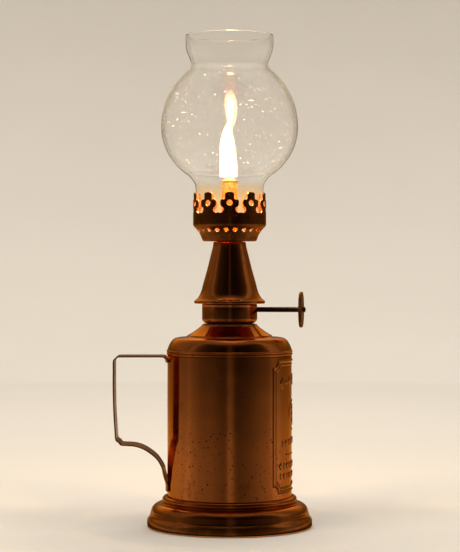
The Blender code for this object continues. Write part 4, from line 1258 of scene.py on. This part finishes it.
def make_flags():
    """Dark and bright studio flags round the lamp and on the floor, seen only in reflections."""
    rows = [(r, FLAG_DISC_Z) for r in np.geomspace(foot_r + 0.4 * MM, FLAG_DISC_R, 30)]
    for t in np.radians(np.linspace(-5.0, 89.5, 40)):
        rows.append((DOME_R * cos(t), max(DOME_CENTRE + DOME_R * sin(t), 0.0005)))
    mesh = lathe_mesh("flags", rows, 180, False)
    s = Shade("studio_flags")
    x, y, z = s.axis("X"), s.axis("Y"), s.axis("Z")
    heading = s.math("ARCTAN2", x, s.times(y, -1.0))
    share = s.plus(s.math("DIVIDE", heading, 2 * pi), 0.5)
    levels = [(degrees / 360 + 0.5, (level,) * 3) for degrees, level in FLAG_LEVELS]
    side = s.feed(s.node("SeparateXYZ"), Vector=s.ramp(share, levels)).outputs["X"]
    r = s.radius()
    near = s.times(s.span(r, 0.22, 1.05, FLOOR_BOOST, 0.0), s.span(z, 0.002, 0.03, 1.0, 0.0))
    side_on_wall = s.times(side, s.span(z, 0.004, 0.05, 1.0, 0.55))
    low = s.plus(s.times(side_on_wall, s.plus(near, 1.0)), s.times(near, 0.03))
    tilt = s.math("ARCTAN2", s.math("SUBTRACT", z, DOME_CENTRE), r)
    high = s.plus(s.times(s.math("POWER", side, 3.0), 30.0), 0.006)
    # Dimmer on the floor beneath the lamp: a painted shadow of the lamp in what the metal reflects.
    under = s.span(r, foot_r + 2 * MM, 3.2 * foot_r, 0.12, 1.0)
    low = s.times(low, s.math("MAXIMUM", under, s.span(z, 0.002, 0.01)))

    def blend(a, b, share_of_b):
        return s.plus(s.times(a, s.math("SUBTRACT", 1.0, share_of_b)), s.times(b, share_of_b))

    level = blend(low, high, s.span(tilt, radians(6), radians(22)))
    level = blend(level, TOP_LEVEL, s.span(tilt, radians(48), radians(72)))
    glow = s.feed(s.node("Emission"), Color=FLAG_TINT, Strength=level)
    s.feed(s.out, Surface=glow.outputs[0])
    piece = new_object("flags", mesh, s.material, 0)
    unseen(piece, "camera", "diffuse", "transmission", "shadow", "volume_scatter")


make_flags()

world = bpy.data.worlds.new("studio")
bpy.context.scene.world = world
world.use_nodes = True
sky = world.node_tree.nodes["Background"]
sky.inputs["Color"].default_value = (1.0, 0.96, 0.90, 1.0)
sky.inputs["Strength"].default_value = 0.68
world.cycles_visibility.glossy = False


def soft_light(name, place, target, size, power):
    """A rectangular lamp that lights the scene but is never seen itself."""
    data = bpy.data.lights.new(name, "AREA")
    data.shape = "RECTANGLE"
    data.size, data.size_y = size
    data.energy = power
    data.color = (1.0, 0.95, 0.88)
    lamp = placed(name, data)
    lamp.location = place
    aim = Vector(target) - Vector(place)
    lamp.rotation_euler = aim.to_track_quat("-Z", "Y").to_euler()
    unseen(lamp, "glossy", "camera", "transmission")


soft_light("key", (-1.0, -0.9, 1.6), (0, 0, 0.1), (1.2, 1.2), 13.5)
soft_light("fill", (1.3, -0.5, 1.2), (0, 0, 0.1), (1.2, 1.2), 7.0)
soft_light("back", (0.1, 1.15, 1.5), (0, 0.2, 0.05), (1.6, 0.8), 12.0)

glow = bpy.data.lights.new("flame_glow", "POINT")
glow.energy = 0.9
glow.color = (1.0, 0.62, 0.26)
glow.shadow_soft_size = 3 * MM
flame_lamp = placed("flame_glow", glow)
flame_lamp.location = (-0.6 * MM, 0.0, wick_high + 6 * MM)
flame_lamp.parent = frame["bodies"]["burner"]
unseen(flame_lamp, "camera", "transmission")

CAMERA_PLACE = (0.0002, -0.942, 0.1344)
CAMERA_DIP = 0.4336
LENS, SENSOR = 120.65, 36.0

camera_data = bpy.data.cameras.new("camera")
camera = placed("camera", camera_data)
camera.location = CAMERA_PLACE
camera.rotation_euler = (radians(90 - CAMERA_DIP), 0.0, 0.0)
camera_data.lens = LENS
camera_data.sensor_width = SENSOR
bpy.context.scene.camera = camera
bpy.context.scene.view_settings.view_transform = "Standard"
